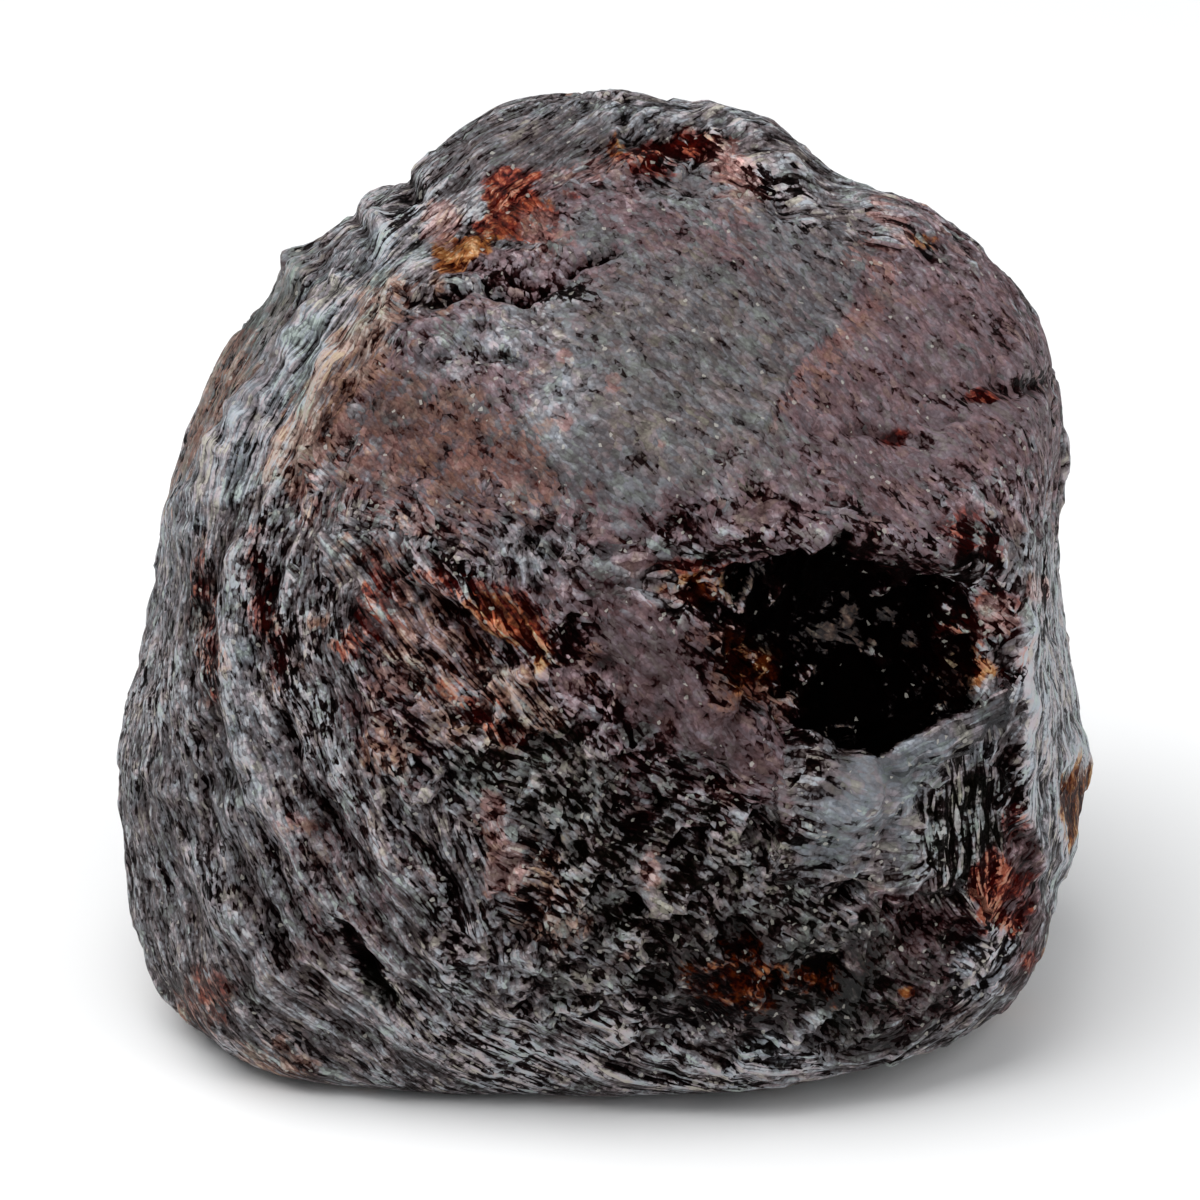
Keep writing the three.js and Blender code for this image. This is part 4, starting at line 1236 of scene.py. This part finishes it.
    def _relief(self, nodes: Nodes, place: Socket) -> tuple[Socket, bpy.types.Node, Socket]:
        """Gives the fine relief of streaks, splinters and crumbs, about a middle of 0.5.

        Args:
            nodes: The material's nodes.
            place: The place in millimetres.

        Returns:
            The height of the relief, a node that gives three random numbers for each splinter, and a
            random number for each grain.
        """
        first, *others = STREAKS
        shrink, across = 1.0 / first.length, nodes.attribute(first.across)
        for streak in others:
            here = nodes.math("GREATER_THAN", nodes.attribute(streak.ground), 0.5)
            shrink = nodes.blend(here, shrink, 1.0 / streak.length)
            across = nodes.blend(here, across, nodes.attribute(streak.across))
        shrunk = nodes.add("ShaderNodeVectorMath", {0: place, 3: shrink}, operation="SCALE").outputs[0]
        shift = nodes.add("ShaderNodeCombineXYZ", {"X": across}).outputs[0]
        drawn = nodes.add("ShaderNodeVectorMath", {0: shrunk, 1: shift}, operation="ADD").outputs[0]
        streaks = nodes.noise(drawn, self.streak_size, self.streak_detail, self.streak_rough)
        splinters = nodes.add("ShaderNodeTexVoronoi", {"Vector": drawn, "Scale": self.splinters_each})
        chances = nodes.add("ShaderNodeSeparateColor", {0: splinters.outputs["Color"]})
        grains = nodes.add("ShaderNodeTexVoronoi", {"Vector": place, "Scale": self.grains_each})
        grit = nodes.add("ShaderNodeSeparateColor", {0: grains.outputs["Color"]})
        height = 0.5
        for part, amount in (
            (streaks, self.streak_height),
            (chances.outputs[0], self.splinter_height),
            (grit.outputs[0], self.grain_height),
            (splinters.outputs["Distance"], self.splinter_doming),
            (grains.outputs["Distance"], self.grain_doming),
        ):
            height = nodes.swing(height, part, amount)
        wrap = nodes.math("MULTIPLY_ADD", nodes.attribute(Ground.SCUFF), -0.05, 0.10)
        relief = nodes.math("MULTIPLY", nodes.attribute(Measure.RELIEF), wrap)
        return nodes.math("ADD", relief, height), chances, grit.outputs[1]

    def _tone(self, nodes: Nodes, height: Socket, over: Socket, chance: Socket) -> Socket:
        """Gives how light the skin is, from 0 in the pits to 1 on the crests: the fine relief painted in, as
        shade in its pits and highlight on its crests.

        Args:
            nodes: The material's nodes.
            height: The fine relief.
            over: How far the relief stands over the level where it turns dark.
            chance: A random number for each splinter, that its height already holds.

        Returns:
            The tone.
        """
        contrast = nodes.attribute(Measure.CONTRAST)
        about = nodes.swing(nodes.math("SUBTRACT", height, 0.5), chance, self.splinter_tone_cut)
        tone = nodes.math("MULTIPLY_ADD", about, contrast, nodes.attribute(Measure.TONE))
        # Pits are painted shade: shallow ones deep red-brown, and only deep ones black.
        above_pits = nodes.math("SUBTRACT", tone, self.pit_tone)
        lit = nodes.math("MULTIPLY", above_pits, nodes.step(over, -0.03, 0.06))
        return nodes.math("MULTIPLY_ADD", nodes.step(over, -0.22, 0.02), self.pit_tone, lit)

    def _skin(self, nodes: Nodes, place: Socket, tone: Socket, chance: Socket) -> Socket:
        """Gives the skin's colour: grey schist, with each mineral tinting it splinter by splinter.

        Args:
            nodes: The material's nodes.
            place: The place in millimetres.
            tone: How light the skin is.
            chance: A random number for each splinter.

        Returns:
            The colour.
        """
        colour = nodes.ramp(tone, tuple(zip(self.tones, self.schist)))
        ragged = nodes.noise(place, 0.8, 3.0, 0.75)
        offset = nodes.math("MULTIPLY_ADD", ragged, 2.2, -1.35)
        offset = nodes.math("MULTIPLY_ADD", chance, 0.5, offset)
        for veneer in self.veneers:
            share = nodes.attribute(veneer.kind)
            middle, soft = self.cover_middle, self.cover_soft
            cover = nodes.step(nodes.math("ADD", share, offset), middle - soft, middle + soft)
            cover = nodes.math("MULTIPLY", cover, nodes.step(share, 0.02, middle))
            mottled = nodes.swing(tone, ragged, veneer.mottled) if veneer.mottled else tone
            tint = nodes.ramp(mottled, tuple(zip(self.tones, veneer.colours)))
            colour = nodes.mix(nodes.math("MULTIPLY", cover, veneer.most), colour, tint)
        hue = nodes.swing(nodes.noise(place, 1.3, 2.0, 0.7), chance, 0.22)
        return nodes.mix(1.0, colour, nodes.ramp(hue, self.hues), "MULTIPLY")

    def _flecks(self, nodes: Nodes, chance: Socket, colour: Socket) -> Socket:
        """Makes a few grains pale, more of them on broken ground and fewer on black garnet: pale grains, and
        painted glints of flakes catching the light.

        Args:
            nodes: The material's nodes.
            chance: A random number for each grain.
            colour: The colour without flecks.

        Returns:
            The colour with flecks.
        """
        worked = nodes.math("MULTIPLY_ADD", nodes.attribute(Ground.BROKEN), -0.010, self.fleck_level)
        worked = nodes.math("MULTIPLY_ADD", nodes.attribute(Mineral.BLACK), 0.013, worked)
        pale = nodes.math("GREATER_THAN", chance, worked)
        return nodes.mix(nodes.math("MULTIPLY", pale, self.fleck_cover), colour, self.glint_fleck_colour)


@dataclass
class Studio:
    """A pale floor, soft lights from above and the camera in front."""

    view: Viewpoint
    floor_half: float = 1.5
    floor_colour: tuple[float, float, float, float] = (0.9, 0.9, 0.9, 1.0)
    floor_roughness: float = 0.9
    sky_colour: tuple[float, float, float, float] = (0.95, 0.975, 1.0, 1.0)
    sky_strength: float = 0.42
    # Each light's name, place and side in metres, and power in watts.
    lights: tuple[tuple[str, tuple[float, float, float], float, float], ...] = (
        ("key", (-0.14, -0.10, 0.44), 0.44, 2.4),
        ("fill", (0.34, -0.20, 0.30), 0.40, 0.7),
    )

    def build(self) -> None:
        """Builds the floor, the lights, the world and the camera."""
        self._floor()
        for light in self.lights:
            self._light(*light)
        world = bpy.data.worlds.new("studio")
        world.use_nodes = True
        background = world.node_tree.nodes["Background"]
        background.inputs["Color"].default_value = self.sky_colour
        background.inputs["Strength"].default_value = self.sky_strength
        bpy.context.scene.world = world
        bpy.context.scene.view_settings.view_transform = "Standard"
        self._camera()

    def _floor(self) -> None:
        """Makes the pale floor."""
        ground = bmesh.new()
        bmesh.ops.create_grid(ground, x_segments=1, y_segments=1, size=self.floor_half)
        mesh = bpy.data.meshes.new("floor")
        ground.to_mesh(mesh)
        ground.free()
        material = bpy.data.materials.new("pale_floor")
        material.use_nodes = True
        shader = material.node_tree.nodes["Principled BSDF"]
        shader.inputs["Base Color"].default_value = self.floor_colour
        shader.inputs["Roughness"].default_value = self.floor_roughness
        mesh.materials.append(material)
        floor = bpy.data.objects.new("floor", mesh)
        bpy.context.scene.collection.objects.link(floor)

    def _light(self, name: str, place: tuple[float, float, float], size: float, power: float) -> None:
        """Adds a square soft light that faces the stone.

        Args:
            name: The light's name.
            place: Where it hangs, in metres.
            size: The side of its square.
            power: Its power in watts.
        """
        lamp = bpy.data.lights.new(name, "AREA")
        lamp.size = size
        lamp.energy = power
        holder = bpy.data.objects.new(name, lamp)
        holder.location = place
        aim = Vector(self.view.centre) * MM - Vector(place)
        holder.rotation_euler = aim.to_track_quat("-Z", "Y").to_euler()
        bpy.context.scene.collection.objects.link(holder)

    def _camera(self) -> None:
        """Places the camera in front of the stone, looking down at its tilt."""
        view = self.view
        camera = bpy.data.cameras.new("front")
        camera.lens = view.lens
        camera.clip_start = 0.01
        holder = bpy.data.objects.new("front", camera)
        centre = Vector(view.centre) * MM
        holder.location = centre + Vector(view.front) * view.distance * MM
        holder.rotation_euler = (centre - holder.location).to_track_quat("-Z", "Y").to_euler()
        bpy.context.scene.collection.objects.link(holder)
        bpy.context.scene.camera = holder


def main() -> None:
    """Builds the studio and the stone."""
    logging.basicConfig(level=logging.INFO, format="%(message)s")
    view = Viewpoint()
    Studio(view).build()
    stone = CrystalBody(view).build()
    stone.data.materials.append(StoneFinish().build())
    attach(stone, "root")
    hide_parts(STONE_NODE)
    log.info("%s: %d faces", stone.name, len(stone.data.polygons))


if __name__ == "__main__":
    main()
